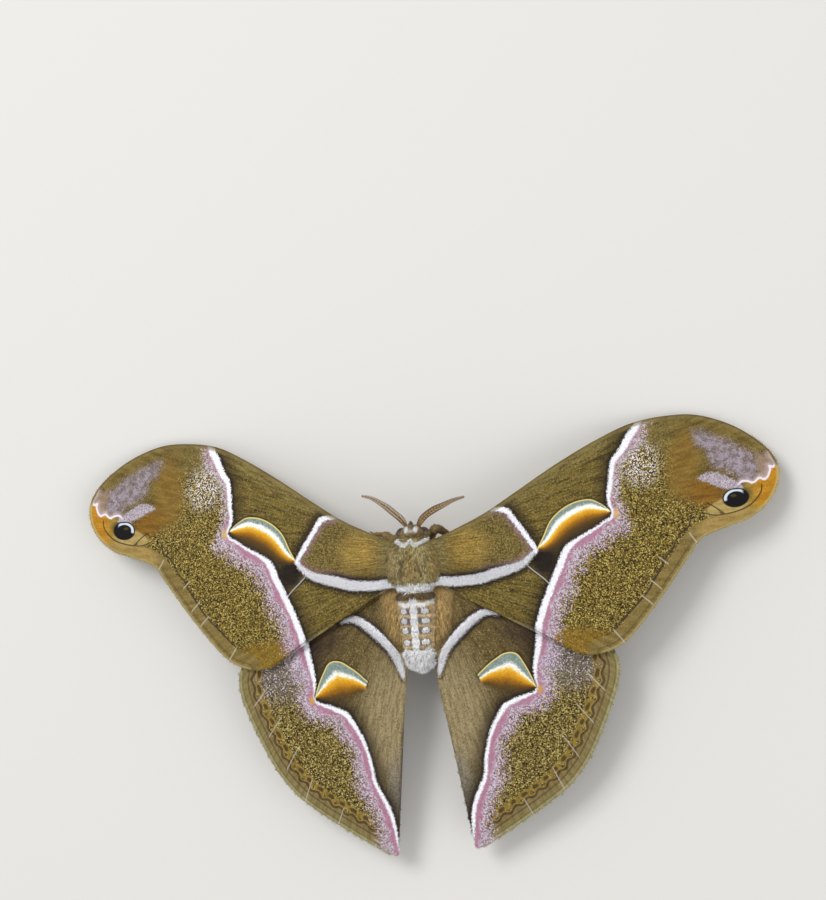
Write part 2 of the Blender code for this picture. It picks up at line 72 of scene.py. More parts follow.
# Outlines and veins of the right wings seen from above, as (x, y) in the moth's frame. A wing's root runs
# from the last point of its outline to the first.
FOREWING_OUTLINE = (
    (1.5, 2.2), (4.5, 3.6), (9.0, 5.6), (13.5, 7.8), (19.5, 11.6), (26.0, 15.8), (33.0, 19.8),
    (39.5, 22.7), (46.0, 23.7), (51.5, 23.4), (57.5, 21.1), (62.3, 17.6), (64.8, 14.2),
    (65.1, 10.8), (63.4, 7.2), (60.0, 4.3), (55.5, 2.7), (51.3, 1.0), (48.8, -2.2),
    (45.2, -7.2), (41.2, -12.3), (37.0, -16.8), (33.0, -18.6), (29.0, -18.6), (25.5, -16.7),
    (22.0, -13.9), (18.0, -11.7), (13.5, -9.9), (9.0, -7.3), (5.2, -4.8), (1.5, -3.2),
)
FOREWING_VEINS = (
    ((3.5, 2.3), (14.0, 6.6), (26.5, 14.4), (38.0, 20.6), (45.5, 22.6)),
    ((3.5, 1.2), (16.0, 5.8), (30.0, 12.8), (43.0, 18.8), (56.2, 20.6)),
    ((33.5, 14.4), (46.0, 16.6), (56.0, 15.6), (64.0, 12.2)),
    ((33.5, 11.6), (45.0, 11.4), (54.0, 8.6), (60.8, 5.8)),
    ((35.6, 7.6), (43.0, 5.8), (51.0, 1.8)),
    ((33.0, 2.6), (40.0, -0.8), (46.2, -4.8)),
    ((3.5, 0.0), (14.0, -0.4), (23.0, -1.2), (33.0, -4.6), (41.5, -10.4)),
    ((20.0, -1.6), (28.5, -8.0), (36.0, -16.2)),
    ((3.5, -1.4), (12.5, -5.2), (21.5, -10.4), (28.0, -15.6), (30.6, -17.8)),
    ((33.5, 12.6), (36.2, 7.6), (32.5, 2.2), (27.0, -2.0)),
)
HINDWING_OUTLINE = (
    (1.5, -3.0), (6.0, -4.2), (12.0, -6.2), (20.0, -9.2), (27.5, -12.4), (32.8, -15.6),
    (35.2, -19.2), (35.4, -23.0), (34.0, -27.5), (31.9, -32.5), (29.2, -37.8), (25.8, -42.2),
    (21.5, -45.7), (17.0, -48.7), (12.5, -51.6), (9.4, -53.4), (7.4, -53.8), (6.9, -51.0),
    (6.3, -46.0), (5.5, -39.0), (4.5, -31.5), (3.4, -25.5), (2.8, -21.0), (2.2, -17.0),
    (1.6, -12.0), (1.5, -7.0),
)
HINDWING_VEINS = (
    ((4.0, -4.6), (14.0, -8.6), (25.0, -13.6), (33.8, -19.4)),
    ((4.0, -5.4), (15.0, -11.6), (25.5, -18.6), (33.8, -26.0)),
    ((17.0, -13.6), (24.5, -22.5), (31.0, -32.4)),
    ((18.6, -18.6), (22.5, -28.5), (27.0, -39.6)),
    ((16.0, -24.0), (18.5, -34.0), (21.0, -44.6)),
    ((4.0, -6.6), (9.5, -15.5), (12.5, -30.0), (14.4, -49.2)),
    ((4.2, -9.0), (6.2, -19.0), (7.6, -36.0), (8.8, -52.0)),
)

# Markings of the right forewing; a line with a width of its own has points of (x, y, width).
# The outer white line: its inner edge, from the leading edge to the rear
FORE_LINE = (
    (40.6, 24.0, 1.3), (39.6, 22.0, 1.45), (38.5, 20.5, 1.6), (37.1, 17.8, 1.35), (35.9, 16.1, 1.1),
    (35.5, 13.8, 1.0), (35.2, 11.1, 0.95), (35.0, 9.3, 0.75), (35.3, 7.7, 0.6), (35.9, 6.5, 0.5),
    (35.5, 5.7, 0.55), (34.4, 5.1, 0.5), (32.4, 3.8, 0.55), (30.1, 2.6, 0.7), (28.3, 1.6, 1.1),
    (27.4, 0.9, 1.35), (26.6, -0.4, 1.45), (25.9, -2.2, 1.45), (24.9, -4.3, 1.4), (23.9, -6.6, 1.4),
    (22.9, -8.8, 1.4), (22.2, -10.8, 1.4), (21.5, -13.0, 1.4), (20.8, -17.0, 1.4),
)
# The line round the base of the wing: its middle, out along the leading edge, in and back to the thorax
FORE_BASE_LINE = (
    (1.0, 3.6, 0.0), (6.0, 5.4, 0.0), (9.0, 6.7, 0.0), (11.5, 7.7, 0.1), (14.2, 8.3, 0.3),
    (16.8, 8.1, 0.45), (17.6, 7.6, 0.45), (18.6, 6.1, 0.42), (19.8, 4.4, 0.42), (20.9, 2.7, 0.42),
    (22.0, 1.0, 0.36), (22.3, 0.5, 0.3), (21.4, -0.4, 0.42), (19.5, -2.0, 0.6), (17.1, -2.8, 0.8),
    (14.6, -3.4, 0.9), (12.1, -4.1, 0.9), (9.0, -4.4, 0.85), (6.6, -4.4, 0.8), (4.8, -4.2, 0.8),
    (1.0, -4.0, 0.8),
)
FORE_THREAD = ((20.3, -1.9), (21.9, -3.4), (23.3, -4.6), (24.5, -5.9))
FORE_CRESCENT_TOP = (
    (22.4, 0.7), (23.5, 2.7), (24.9, 5.6), (26.8, 7.5), (29.0, 8.7), (31.0, 9.15), (32.3, 9.1),
    (33.4, 8.6), (34.7, 7.7), (35.7, 6.7),
)
FORE_CRESCENT_BOTTOM = (
    (35.7, 6.7), (35.0, 5.9), (33.8, 5.0), (32.0, 3.9), (30.1, 2.9), (27.9, 1.7), (26.0, 0.6),
    (23.8, 0.1), (22.4, 0.7),
)
FORE_ZIGZAG = (
    (63.4, 15.9), (63.6, 15.3), (63.9, 14.8), (64.5, 13.8), (64.3, 13.1), (63.5, 13.4), (63.7, 12.7),
    (63.2, 11.4), (62.6, 10.9), (61.7, 11.4), (61.0, 10.7), (60.4, 10.4), (59.9, 10.8), (58.7, 10.9),
    (57.8, 10.2),
)
FORE_CLOUD = (
    (50.4, 20.4), (51.7, 20.7), (52.9, 20.1), (54.5, 19.3), (56.4, 18.5), (58.3, 17.4), (59.8, 16.3),
    (61.0, 15.1), (61.6, 14.0), (61.8, 12.7), (61.3, 11.6), (60.1, 10.9), (59.0, 10.8), (58.0, 11.6),
    (56.7, 12.6), (55.3, 13.1), (53.8, 14.1), (53.0, 15.4), (52.7, 16.9), (51.5, 17.7), (50.6, 18.8),
)
FORE_MAUVE = (
    (61.0, 16.2), (62.4, 15.6), (63.6, 14.2), (63.7, 12.6), (63.1, 11.2), (61.7, 11.3), (61.6, 13.1),
)
FORE_LOBE = (
    (50.9, 11.7), (51.8, 12.4), (52.6, 12.8), (53.6, 12.9), (54.8, 12.6), (56.1, 11.9), (57.5, 11.1),
    (58.5, 10.5), (59.1, 9.8), (58.3, 9.4), (57.3, 9.5), (56.2, 9.5), (55.2, 9.8), (53.8, 10.4), (52.5, 11.1),
)
EYESPOT_MIDDLE = (57.5, 7.95)
EYESPOT_HALF = (2.15, 1.6)
EYESPOT_LINES = (
    ((52.5, 7.3), (53.3, 6.8), (54.3, 6.1), (55.4, 5.1)),
    ((52.2, 5.4), (53.7, 5.0), (55.4, 5.1), (57.5, 5.5), (59.4, 6.2), (60.9, 7.4),
     (61.9, 8.8), (62.1, 9.9)),
)
FORE_SUBMARGIN = (
    (49.6, 4.9), (49.4, 4.1), (49.1, 3.1), (48.1, 2.5), (47.0, 1.2), (46.2, -0.6), (44.9, -2.0),
    (43.9, -4.0), (42.4, -6.4), (41.1, -8.4), (39.3, -10.3), (37.2, -12.4), (35.1, -14.5), (32.6, -16.0),
)
FORE_TICKS = (
    ((49.3, 1.9), (50.3, 0.4)), ((44.0, -2.2), (45.1, -3.1)), ((42.1, -6.0), (43.7, -7.5)),
    ((40.5, -8.8), (42.0, -10.2)), ((35.2, -14.7), (36.8, -16.9)),
)
# Markings of the right hindwing
HIND_LINE = (
    (21.9, -9.0, 1.45), (21.4, -13.1, 1.45), (21.2, -14.5, 1.4), (21.0, -16.4, 1.25), (20.6, -18.6, 1.1),
    (20.3, -20.7, 0.85), (20.4, -23.1, 0.5), (20.7, -24.5, 0.4), (20.1, -25.2, 0.5), (19.4, -25.4, 0.6),
    (17.6, -25.9, 0.85), (15.8, -26.6, 1.0), (14.4, -27.4, 1.1), (13.4, -28.9, 1.0), (12.4, -30.7, 0.85),
    (11.5, -32.8, 0.75), (10.9, -35.0, 0.7), (10.4, -37.4, 0.7), (10.1, -39.8, 0.75), (9.2, -42.0, 0.85),
    (8.0, -44.5, 0.9), (7.2, -47.5, 0.8), (6.8, -53.0, 0.4),
)
HIND_BASE_LINE = (
    (3.3, -21.4, 0.15), (3.6, -20.0, 0.5), (4.3, -17.8, 0.66), (5.5, -15.8, 0.68), (7.5, -13.7, 0.7),
    (9.5, -11.9, 0.68), (11.2, -10.7, 0.6), (12.8, -10.3, 0.45), (14.6, -10.9, 0.12),
)
HIND_CRESCENT_TOP = (
    (10.2, -21.7), (12.2, -19.9), (13.9, -18.7), (15.1, -18.0), (16.6, -17.8), (17.7, -18.3),
    (18.5, -19.5), (19.3, -21.0), (20.0, -22.6), (20.6, -24.3),
)
HIND_CRESCENT_BOTTOM = (
    (20.6, -24.3), (19.5, -25.0), (17.9, -25.7), (15.9, -26.2), (13.8, -26.0), (12.4, -25.2), (11.5, -24.3),
)
HIND_TICKS = (
    ((29.9, -22.3), (32.6, -25.4)), ((27.6, -27.8), (30.2, -31.2)), ((24.7, -33.4), (27.2, -37.3)),
    ((22.5, -39.4), (24.2, -43.2)), ((17.0, -45.1), (18.5, -48.4)),
)

# The body
HEAD_MIDDLE = (0.0, 4.3, -0.15)
HEAD_HALF = (3.2, 1.35, 1.6)
EYE_MIDDLE = (1.95, 4.65, -0.3)
EYE_RADIUS = 1.15
ANTENNA_ROUTES = {
    "right": ((0.7, 5.2, 0.2), (2.2, 7.3, 0.7), (4.1, 8.6, 1.0), (6.2, 9.5, 1.1), (8.1, 10.3, 0.8),
              (10.1, 10.8, 0.4)),
    "left": ((0.6, 5.2, 0.2), (1.7, 7.2, 0.7), (2.9, 8.4, 1.0), (4.6, 9.9, 1.1), (7.0, 11.4, 0.8),
             (9.1, 12.0, 0.4)),
}

FLESH = ("thorax", "abdomen", "head", "leg_fore_right", "leg_mid_right", "leg_hind_right", "leg_fore_left",
         "leg_mid_left", "leg_hind_left")

# The wings' patterns, in mm, and the brightest that a wing's colour may be
SCALE_SIZE = 0.17
RING_LENGTH = 3.05
BRIGHTEST = (0.94, 0.94, 0.95)

# The skin is swollen, fused from cells of one size and rid of inner pieces with few points
SKIN_SWELL = 0.22 * MM
SKIN_CELL = 0.14 * MM
BUBBLE_POINTS = 1000

# How far back each pair of white spots on the abdomen lies, and how far out, in mm
SPOT_ROWS = ((9.4, 1.9), (11.1, 1.95), (12.9, 1.85), (15.0, 1.7), (16.8, 1.5))

# Tufts of the coat's parts, with the places along the body in mm where the head's and abdomen's begin
HEAD_TUFTS, LEG_TUFTS, FORE_BAND_TUFTS, WING_TUFTS = 7000, 9000, 6500, 5500
HEAD_START, ABDOMEN_START = 3.6, -6.3
FRINGE_SPACING = 0.045
SKIN_SEED, COAT_SEED, WING_SEED = 3, 11, 29

# Sides of the antennae's tubes, and the margin and width of the wings' maps
SHAFT_SIDES, RAY_SIDES = 8, 5
MAP_EDGE, MAP_SPAN = 0.03, 0.94

# Display white is this bright in the studio light, which is 1.19 times as strong as white paper needs
LIGHT_SHARE = 0.84

# The camera looks down on the moth from 0.38 m, as in the photograph
CAMERA_PLACE = (80.06, 8.26, 372.12)
CAMERA_RIGHT = (0.97625652, -0.05602622, -0.20924689)
CAMERA_UP = (0.06111998, 0.99796898, 0.01795176)
CAMERA_BACK = (0.20781614, -0.03031469, 0.97769805)
CAMERA_LENS = 83.66


def paint(red, green, blue):
    """The linear colour that shows in the studio light as the given one, of up to 274 for white fur."""
    shares = [value / 255 for value in (red, green, blue)]
    linear = [s / 12.92 if s <= 0.04045 else ((s + 0.055) / 1.055) ** 2.4 for s in shares]
    return (*(LIGHT_SHARE * value for value in linear), 1.0)


def colour_property(name, description, *display):
    """A colour that a user can change, given as it shows on a display."""
    return FloatVectorProperty(name=name, description=description, subtype="COLOR", size=4, min=0.0, max=1.0,
                               default=paint(*display))


def length_property(name, description, default, low, high):
    """A length in millimetres that a user can change."""
    return FloatProperty(name=name, description=description + ", in mm", default=default, min=low, max=high)


class WingSettings(bpy.types.PropertyGroup):
    thickness: length_property("Thickness", "Thickness of a wing at its root", 0.42, 0.1, 0.6)
    margin_thickness: length_property("Margin thickness", "Thickness at the rim", 0.16, 0.05, 0.5)
    vein_rise: length_property("Vein rise", "Height of a vein above the wing", 0.16, 0.0, 0.3)
    cells_along: IntProperty(name="Cells along", description="Mesh cells from root to margin", default=170)
    cells_across: IntProperty(name="Cells across", description="Mesh cells from rear to front", default=120)
    dark: colour_property("Dark", "Darkest brown beside the white lines", 20, 10, 8)
    white: colour_property("White", "The white lines", 260, 262, 266)
    pink: colour_property("Pink", "The strip outside the white line", 172, 112, 136)
    lilac: colour_property("Lilac", "Dusting outside the pink strip", 222, 213, 232)
    gold: colour_property("Gold", "Inner part of the crescents", 224, 162, 30)


class FurSettings(bpy.types.PropertyGroup):
    body_tufts: IntProperty(name="Body tufts", description="Tufts on the thorax", default=19000, min=100)
    abdomen_tufts: IntProperty(name="Abdomen tufts", description="Tufts on the abdomen", default=19000,
                               min=100)
    depth: length_property("Coat depth", "Depth of skin under the coat", 0.32, 0.05, 0.8)


class AntennaSettings(bpy.types.PropertyGroup):
    rays: IntProperty(name="Rays", description="Rays on each side of an antenna", default=36, min=4)
    ray_length: length_property("Ray length", "Length of the longest rays", 0.72, 0.1, 3.0)


class StageSettings(bpy.types.PropertyGroup):
    floor: colour_property("Floor", "The pale floor", 226, 224, 220)
    key_power: FloatProperty(name="Key light", description="Power of the main light", default=5.0,
                             unit="POWER")
    fill_power: FloatProperty(name="Fill light", description="Power of the fill light", default=1.9,
                              unit="POWER")


# Routes, distances and the shape of the wings

def smooth_route(points, step, closed=False):
    """Points a step apart along a smooth curve through the given points."""
    places = np.array(points, float)
    count = len(places)
    route = []
    for index in range(count if closed else count - 1):
        start, end = places[index], places[(index + 1) % count]
        before = places[index - 1] if index or closed else 2 * start - end
        after = places[(index + 2) % count] if closed or index + 2 < count else 2 * end - start
        pieces = max(1, round(float(np.linalg.norm((end - start)[:2])) / step))
        t = (np.arange(pieces) / pieces)[:, None]
        bend = (2 * before - 5 * start + 4 * end - after) * t ** 2
        twist = (3 * start - before - 3 * end + after) * t ** 3
        route.append(0.5 * (2 * start + (end - before) * t + bend + twist))
    if not closed:
        route.append(places[-1:])
    return np.concatenate(route)


def spaced(route, shares):
    """Places on a route at the given shares of its length."""
    steps = np.linalg.norm(np.diff(route, axis=0), axis=1)
    reached = np.concatenate([[0.0], np.cumsum(steps)])
    return np.stack([np.interp(shares * reached[-1], reached, route[:, k]) for k in range(route.shape[1])], 1)


def measure(places, route):
    """Distance of flat places to a route, positive on its left side, and the route's width there."""
    best = np.full(len(places), 1e9)
    side = np.zeros(len(places))
    width = np.zeros(len(places))
    for start, end in zip(route, route[1:]):
        way = end[:2] - start[:2]
        offset = places - start[:2]
        share = np.clip(offset @ way / max(way @ way, 1e-12), 0.0, 1.0)
        gap = offset - share[:, None] * way
        distance = np.hypot(gap[:, 0], gap[:, 1])
        turn = (way[0] * offset[:, 1] - way[1] * offset[:, 0]) / math.sqrt(max(way @ way, 1e-12))
        closer = (distance < best - 1e-6) | ((distance < best + 1e-6) & (np.abs(turn) > np.abs(side)))
        best = np.where(closer, distance, best)
        side = np.where(closer, turn, side)
        if route.shape[1] > 2:
            width = np.where(closer, start[2] + share * (end[2] - start[2]), width)
    return best * np.where(side >= 0, 1.0, -1.0), width


def depth_inside(places, loop):
    """Distance of flat places to a closed outline, positive inside."""
    distance = np.abs(measure(places, np.concatenate([loop, loop[:1]]))[0])
    odd = np.zeros(len(places), bool)
    for start, end in zip(loop, np.roll(loop, -1, axis=0)):
        crosses = (start[1] > places[:, 1]) != (end[1] > places[:, 1])
        rise = end[1] - start[1]
        at = start[0] + (places[:, 1] - start[1]) * (end[0] - start[0]) / (rise if rise else 1e-9)
        odd ^= crosses & (at > places[:, 0])
    return np.where(odd, distance, -distance)


def forewing_height(x, y):
    """Height of the forewing's middle surface."""
    fold = -10.75 + 0.16 * x
    ahead = np.maximum(y - fold, 0.0)
    behind = np.maximum(fold - y, 0.0)
    drop = 6.0 * (ahead / 24) ** 2 * np.minimum(x / 40, 1.0) + 0.6 * (behind / 15) ** 2
    return 1.3 - 5.5 * (x / 60) ** 2 - drop


def hindwing_height(x, y):
    """Height of the hindwing's middle surface."""
    behind = np.maximum(-12.75 - y, 0.0)
    return -0.7 - 4.4 * (behind / 40) ** 2 - 2.1 * (x / 40) ** 2


def eased(value, start, end):
    """0 below start, 1 above end and a smooth step between."""
    share = np.clip((value - start) / (end - start), 0.0, 1.0)
    return share * share * (3 - 2 * share)


def faded(value, start, end):
    """1 below start, 0 above end and a smooth step between."""
    return 1 - eased(value, start, end)


def hump(*ratios):
    """1 where every ratio is 0, falling smoothly to a third where one of them is 1."""
    return np.exp(-sum(ratio ** 2 for ratio in ratios))


def unit(vectors):
    """Vectors of length 1 with the same directions."""
    return vectors / (np.linalg.norm(vectors, axis=-1, keepdims=True) + 1e-12)


# A wing's tip and rear are the places in its outline where its margin begins and ends
WINGS = {
    "forewing": {"outline": FOREWING_OUTLINE, "veins": FOREWING_VEINS, "height": forewing_height,
                 "tip": 12, "rear": 22, "pivot": (-7.0, 1.0), "line": FORE_LINE, "base": FORE_BASE_LINE,
                 "crescent": (FORE_CRESCENT_TOP, FORE_CRESCENT_BOTTOM), "ticks": FORE_TICKS},
    "hindwing": {"outline": HINDWING_OUTLINE, "veins": HINDWING_VEINS, "height": hindwing_height,
                 "tip": 6, "rear": 16, "pivot": (0.0, 3.0), "line": HIND_LINE, "base": HIND_BASE_LINE,
                 "crescent": (HIND_CRESCENT_TOP, HIND_CRESCENT_BOTTOM), "ticks": HIND_TICKS},
}


def wing_sides(kind):
    """The four sides of a wing's patch: rear edge, leading edge, root and outer margin."""
    wing = WINGS[kind]
    loop = smooth_route(wing["outline"], 0.6, closed=True)
    marks = [int(np.argmin(np.linalg.norm(loop - np.array(wing["outline"][k]), axis=1)))
             for k in (0, wing["tip"], wing["rear"], len(wing["outline"]) - 1)]
    lead, margin, rear = (loop[marks[k]:marks[k + 1] + 1] for k in range(3))
    root = np.concatenate([loop[marks[3]:], loop[:1]])
    return rear[::-1], lead, root, margin[::-1]


def wing_plan(kind, along, across):
    """Flat places of a wing for shares from root to margin and from rear to front."""
    rear, lead, root, margin = wing_sides(kind)
    u, v = along[:, None], across[:, None]
    flat = (1 - v) * spaced(rear, along) + v * spaced(lead, along)
    flat += (1 - u) * spaced(root, across) + u * spaced(margin, across)
    corners = (1 - u) * ((1 - v) * rear[0] + v * lead[0]) + u * ((1 - v) * rear[-1] + v * lead[-1])
    return flat - corners


def thin_fields(fields, name, flat, routes):
    """Add the distance to the nearest of several routes, and the same with its side as a sign."""
    signed = np.array([measure(flat, route)[0] for route in routes])
    nearest = np.abs(signed).argmin(0)
    fields[name + "_side"] = signed[nearest, np.arange(len(flat))]
    fields[name] = np.abs(fields[name + "_side"])


def wing_fields(kind, flat):
    """The distances, in mm, from flat places of a wing to its markings, veins and edges."""
    def gap(route):
        return np.abs(measure(flat, route)[0])

    def inside(outline):
        return depth_inside(flat, smooth_route(outline, 0.8, closed=True))

    wing = WINGS[kind]
    level = np.zeros(len(flat))
    rear, lead, _, margin = wing_sides(kind)
    rim, floor = (smooth_route(route, 0.4) for route in wing["crescent"])
    fields = {
        "edge": gap(margin), "front": gap(lead), "rear": gap(rear), "rim": gap(rim),
        "vein": np.min([gap(smooth_route(route, 1.5)) for route in wing["veins"]], axis=0),
        "crescent": depth_inside(flat, np.concatenate([rim, floor[1:]])),
        "plan": np.column_stack([flat, level]),
    }
    for name in ("line", "base"):
        fields[name], fields[name + "_width"] = measure(flat, smooth_route(wing[name], 0.4))
    fields["across"] = fields["rim"] / (fields["rim"] + gap(floor) + 0.02)
    x, y = (flat - np.array(wing["pivot"])).T
    fields["grain"] = np.column_stack([np.hypot(x, y), np.arctan2(y, x) * 26.0, level])
    thin_fields(fields, "ticks", flat, [np.array(tick) for tick in wing["ticks"]])
    if kind == "hindwing":
        fields["round"] = np.arctan2(flat[:, 1] + 27.0, flat[:, 0] - 8.0) * 24.0
    else:
        fields.update(mauve=inside(FORE_MAUVE), cloud=inside(FORE_CLOUD), lobe=inside(FORE_LOBE))
        fields["zigzag"] = measure(flat, np.array(FORE_ZIGZAG))[0]
        fields["submargin"] = measure(flat, smooth_route(FORE_SUBMARGIN, 0.5))[0]
        thin_fields(fields, "thread", flat, [smooth_route(FORE_THREAD, 0.5)])
        thin_fields(fields, "loops", flat, [smooth_route(route, 0.3) for route in EYESPOT_LINES])
    return fields


def in_place(flat, heights, side):
    """World places, in metres, of a right wing's flat places, taken to the given side."""
    x = flat[:, 0] * side * (1.0 + SIDE_SPREAD * side)
    y = flat[:, 1] * (1.0 - SIDE_LENGTH * side)
    return np.stack([x, y, heights], 1) * MM + HOME


def wing_top(kind, flat, fields):
    """Height of a wing's middle surface and half its thickness, with its veins raised."""
    settings = bpy.context.scene.moth_wings
    thin = eased(np.minimum(np.minimum(fields["edge"], fields["front"]), fields["rear"]), 0.0, 3.0)
    half = (settings.margin_thickness + (settings.thickness - settings.margin_thickness) * thin) / 2
    ridge = settings.vein_rise * (1.0 - eased(fields["vein"], 0.0, 0.42)) * thin
    return WINGS[kind]["height"](flat[:, 0], flat[:, 1]), half + ridge


# Meshes

def new_object(name, data):
    """Link a mesh, light or camera as a named object."""
    made = bpy.data.objects.new(name, data)
    bpy.context.scene.collection.objects.link(made)
    return made


def mesh_from(bm, name):
    """A named mesh of what was edited, which is then freed."""
    mesh = bpy.data.meshes.new(name)
    bm.to_mesh(mesh)
    bm.free()
    return mesh


def finish_piece(piece, material, slot):
    """Give a piece its material, and let it ride with the moth."""
    piece.data.materials.clear()
    piece.data.materials.append(material)
    piece.data.shade_smooth()
    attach(piece, "root")


def write_field(mesh, name, values):
    """Store a value or a vector for each point of a mesh."""
    values = np.asarray(values, np.float32)
    kind, key = ("FLOAT_VECTOR", "vector") if values.ndim == 2 else ("FLOAT", "value")
    mesh.attributes.new(name, kind, "POINT").data.foreach_set(key, values.ravel())


def mesh_points(mesh):
    """A mesh's points as an array."""
    found = np.empty(len(mesh.vertices) * 3, np.float64)
    mesh.vertices.foreach_get("co", found)
    return found.reshape(-1, 3)


def tuft_mesh(name, roots, ways, ups, lengths, widths, fields, patches):
    """Closed, tapering, bent tufts of three sides, one at each root, as one mesh.

    Each way is the unit direction a tuft points in, each up the surface normal, and each patch the
    place of the root on the unwrapped skin. The fields keep the root's value on the whole tuft."""
    count = len(roots)
    across = unit(np.cross(ways, ups))
    lengths, widths = lengths[:, None], widths[:, None]
    rings = []
    for reach, size, rise in ((0.0, 0.8, -0.1), (0.5, 1.0, 0.16)):
        middle = roots + ways * lengths * reach + ups * lengths * rise
        half = widths * size / 2
        rings += [middle - across * half, middle + across * half, middle + ups * half * 0.22]
    rings.append(roots + ways * lengths + ups * lengths * 0.06)
    points = np.stack(rings, 1).reshape(-1, 3)
    per = len(rings)
    faces = [(0, 2, 1), (3, 4, 6), (4, 5, 6), (5, 3, 6)]
    for a, b in ((0, 1), (1, 2), (2, 0)):
        faces += [(a, b, b + 3), (a, b + 3, a + 3)]
    faces = np.array(faces, np.int32)
    corners = (faces[None] + (np.arange(count, dtype=np.int32) * per)[:, None, None]).reshape(-1)
    mesh = bpy.data.meshes.new(name)
    mesh.vertices.add(count * per)
    mesh.vertices.foreach_set("co", points.ravel())
    triangles = count * len(faces)
    mesh.loops.add(triangles * 3)
    mesh.loops.foreach_set("vertex_index", corners)
    mesh.polygons.add(triangles)
    mesh.polygons.foreach_set("loop_start", np.arange(triangles, dtype=np.int32) * 3)
    mesh.update(calc_edges=True)
    mesh.validate()
    for field, values in fields.items():
        write_field(mesh, field, np.repeat(np.asarray(values), per, axis=0))
    write_field(mesh, "tip", np.tile([0.0, 0.0, 0.0, 0.5, 0.5, 0.5, 1.0], count))
    local = np.array([(-1, -1), (1, -1), (0, -0.5), (-1, 0), (1, 0), (0, 0.5), (0, 1)], float)
    spots = patches[:, None, :] + local[None] * 0.0015
    mesh.uv_layers.new(name="OFBake").data.foreach_set("uv", spots.reshape(-1, 2)[corners].ravel())
    return new_object(name, mesh)


def lean(ways, ups, angle):
    """Turn directions that lie along a surface up from it by an angle in radians."""
    flat = unit(ways - ups * np.sum(ways * ups, axis=1, keepdims=True))
    angle = np.broadcast_to(angle, len(flat))[:, None]
    return flat * np.cos(angle) + ups * np.sin(angle)


# Node trees

class Value:
    """An output of a node that can be reckoned with as a number."""

    def __init__(self, sheet, socket):
        self.sheet = sheet
        self.socket = socket

    def __add__(self, other):
        return self.sheet.math("ADD", self, other)

    def __sub__(self, other):
        return self.sheet.math("SUBTRACT", self, other)

    def __rsub__(self, other):
        return self.sheet.math("SUBTRACT", other, self)

    def __mul__(self, other):
        return self.sheet.math("MULTIPLY", self, other)

    def __gt__(self, other):
        return self.sheet.math("GREATER_THAN", self, other)

    def __lt__(self, other):
        return self.sheet.math("LESS_THAN", self, other)

    def __abs__(self):
        return self.sheet.math("ABSOLUTE", self)


class Sheet:
    """Writes a shader node tree one step at a time.

    A colour may be given as (red, green, blue) display values or as the blend (value, low, high)."""

    def __init__(self, tree):
        self.tree = tree
        self.made = 0

    def node(self, kind, inputs=(), **settings):
        node = self.tree.nodes.new(kind)
        node.location = (self.made // 8 * 190, -(self.made % 8) * 190)
        self.made += 1
        for name, value in settings.items():
            setattr(node, name, value)
        for key, value in dict(inputs).items():
            self.put(node.inputs[key], value)
        return node

    def put(self, socket, value):
        if isinstance(value, Value):
            self.tree.links.new(value.socket, socket)
        else:
            socket.default_value = value

    def outputs(self, node):
        return {socket.name: Value(self, socket) for socket in node.outputs}

    def value(self, kind, inputs=(), output=0, **settings):
        return Value(self, self.node(kind, inputs, **settings).outputs[output])

    def field(self, name):
        return self.value("ShaderNodeAttribute", output="Fac", attribute_name=name)

    def place(self, name):
        return self.value("ShaderNodeAttribute", output="Vector", attribute_name=name)

    def math(self, operation, first, second=0.0):
        return self.value("ShaderNodeMath", {0: first, 1: second}, operation=operation)

    def step(self, value, start, end):
        """0 at start and 1 at end, smooth between; start may be above end."""
        low, high = sorted((start, end))
        inputs = {"Value": value, "From Min": low, "From Max": high}
        if start > end:
            inputs.update({"To Min": 1.0, "To Max": 0.0})
        return self.value("ShaderNodeMapRange", inputs, interpolation_type="SMOOTHSTEP", clamp=True)

    def both(self, *shares):
        """The product of shares, of which one given as (value, start, end) is a step."""
        result = None
        for share in shares:
            share = self.step(*share) if isinstance(share, tuple) else share
            result = share if result is None else result * share
        return result

    def thin(self, name, half):
        """1 on a line thinner than the mesh's cells, from its distance and its side."""
        return self.both((self.field(name), 0.5, 0.35), (abs(self.field(name + "_side")), half, half * 0.4))

    def shade(self, colour):
        if isinstance(colour, tuple) and len(colour) == 3:
            return self.mix(*colour) if isinstance(colour[0], Value) else paint(*colour)
        return colour

    def mix(self, share, first, second):
        inputs = {0: share, 6: self.shade(first), 7: self.shade(second)}
        return self.value("ShaderNodeMix", inputs, output=2, data_type="RGBA")

    def scaled(self, place, factors):
        return self.value("ShaderNodeMapping", {"Vector": place, "Scale": factors})

    def noise(self, place, scale, detail=2.0, roughness=0.5):
        inputs = {"Vector": place, "Scale": scale, "Detail": detail, "Roughness": roughness}
        return self.value("ShaderNodeTexNoise", inputs, output="Fac")

    def oval(self, x, y, middle, half, turn=0.0):
        """How far out a place lies from an oval's middle: 1 on its rim."""
        dx, dy = x - middle[0], y - middle[1]
        c, s = math.cos(turn), math.sin(turn)
        along, across = (self.math("POWER", abs(self.math("DIVIDE", value, size)), 2.0)
                         for value, size in ((dx * c + dy * s, half[0]), (dy * c - dx * s, half[1])))
        return self.math("SQRT", along + across)


def new_group(name, inputs, outputs):
    """An empty shader node group with named sockets."""
    tree = bpy.data.node_groups.new(name, "ShaderNodeTree")
    for way, sockets in (("INPUT", inputs), ("OUTPUT", outputs)):
        for label, kind in sockets.items():
            tree.interface.new_socket(label, in_out=way, socket_type="NodeSocket" + kind)
    sheet = Sheet(tree)
    return sheet, sheet.outputs(sheet.node("NodeGroupInput")), sheet.node("NodeGroupOutput").inputs


def placed(sheet, name, inputs):
    """Put a node group into a tree with its own values, and return its outputs."""
    return sheet.outputs(sheet.node("ShaderNodeGroup", inputs, node_tree=bpy.data.node_groups[name]))


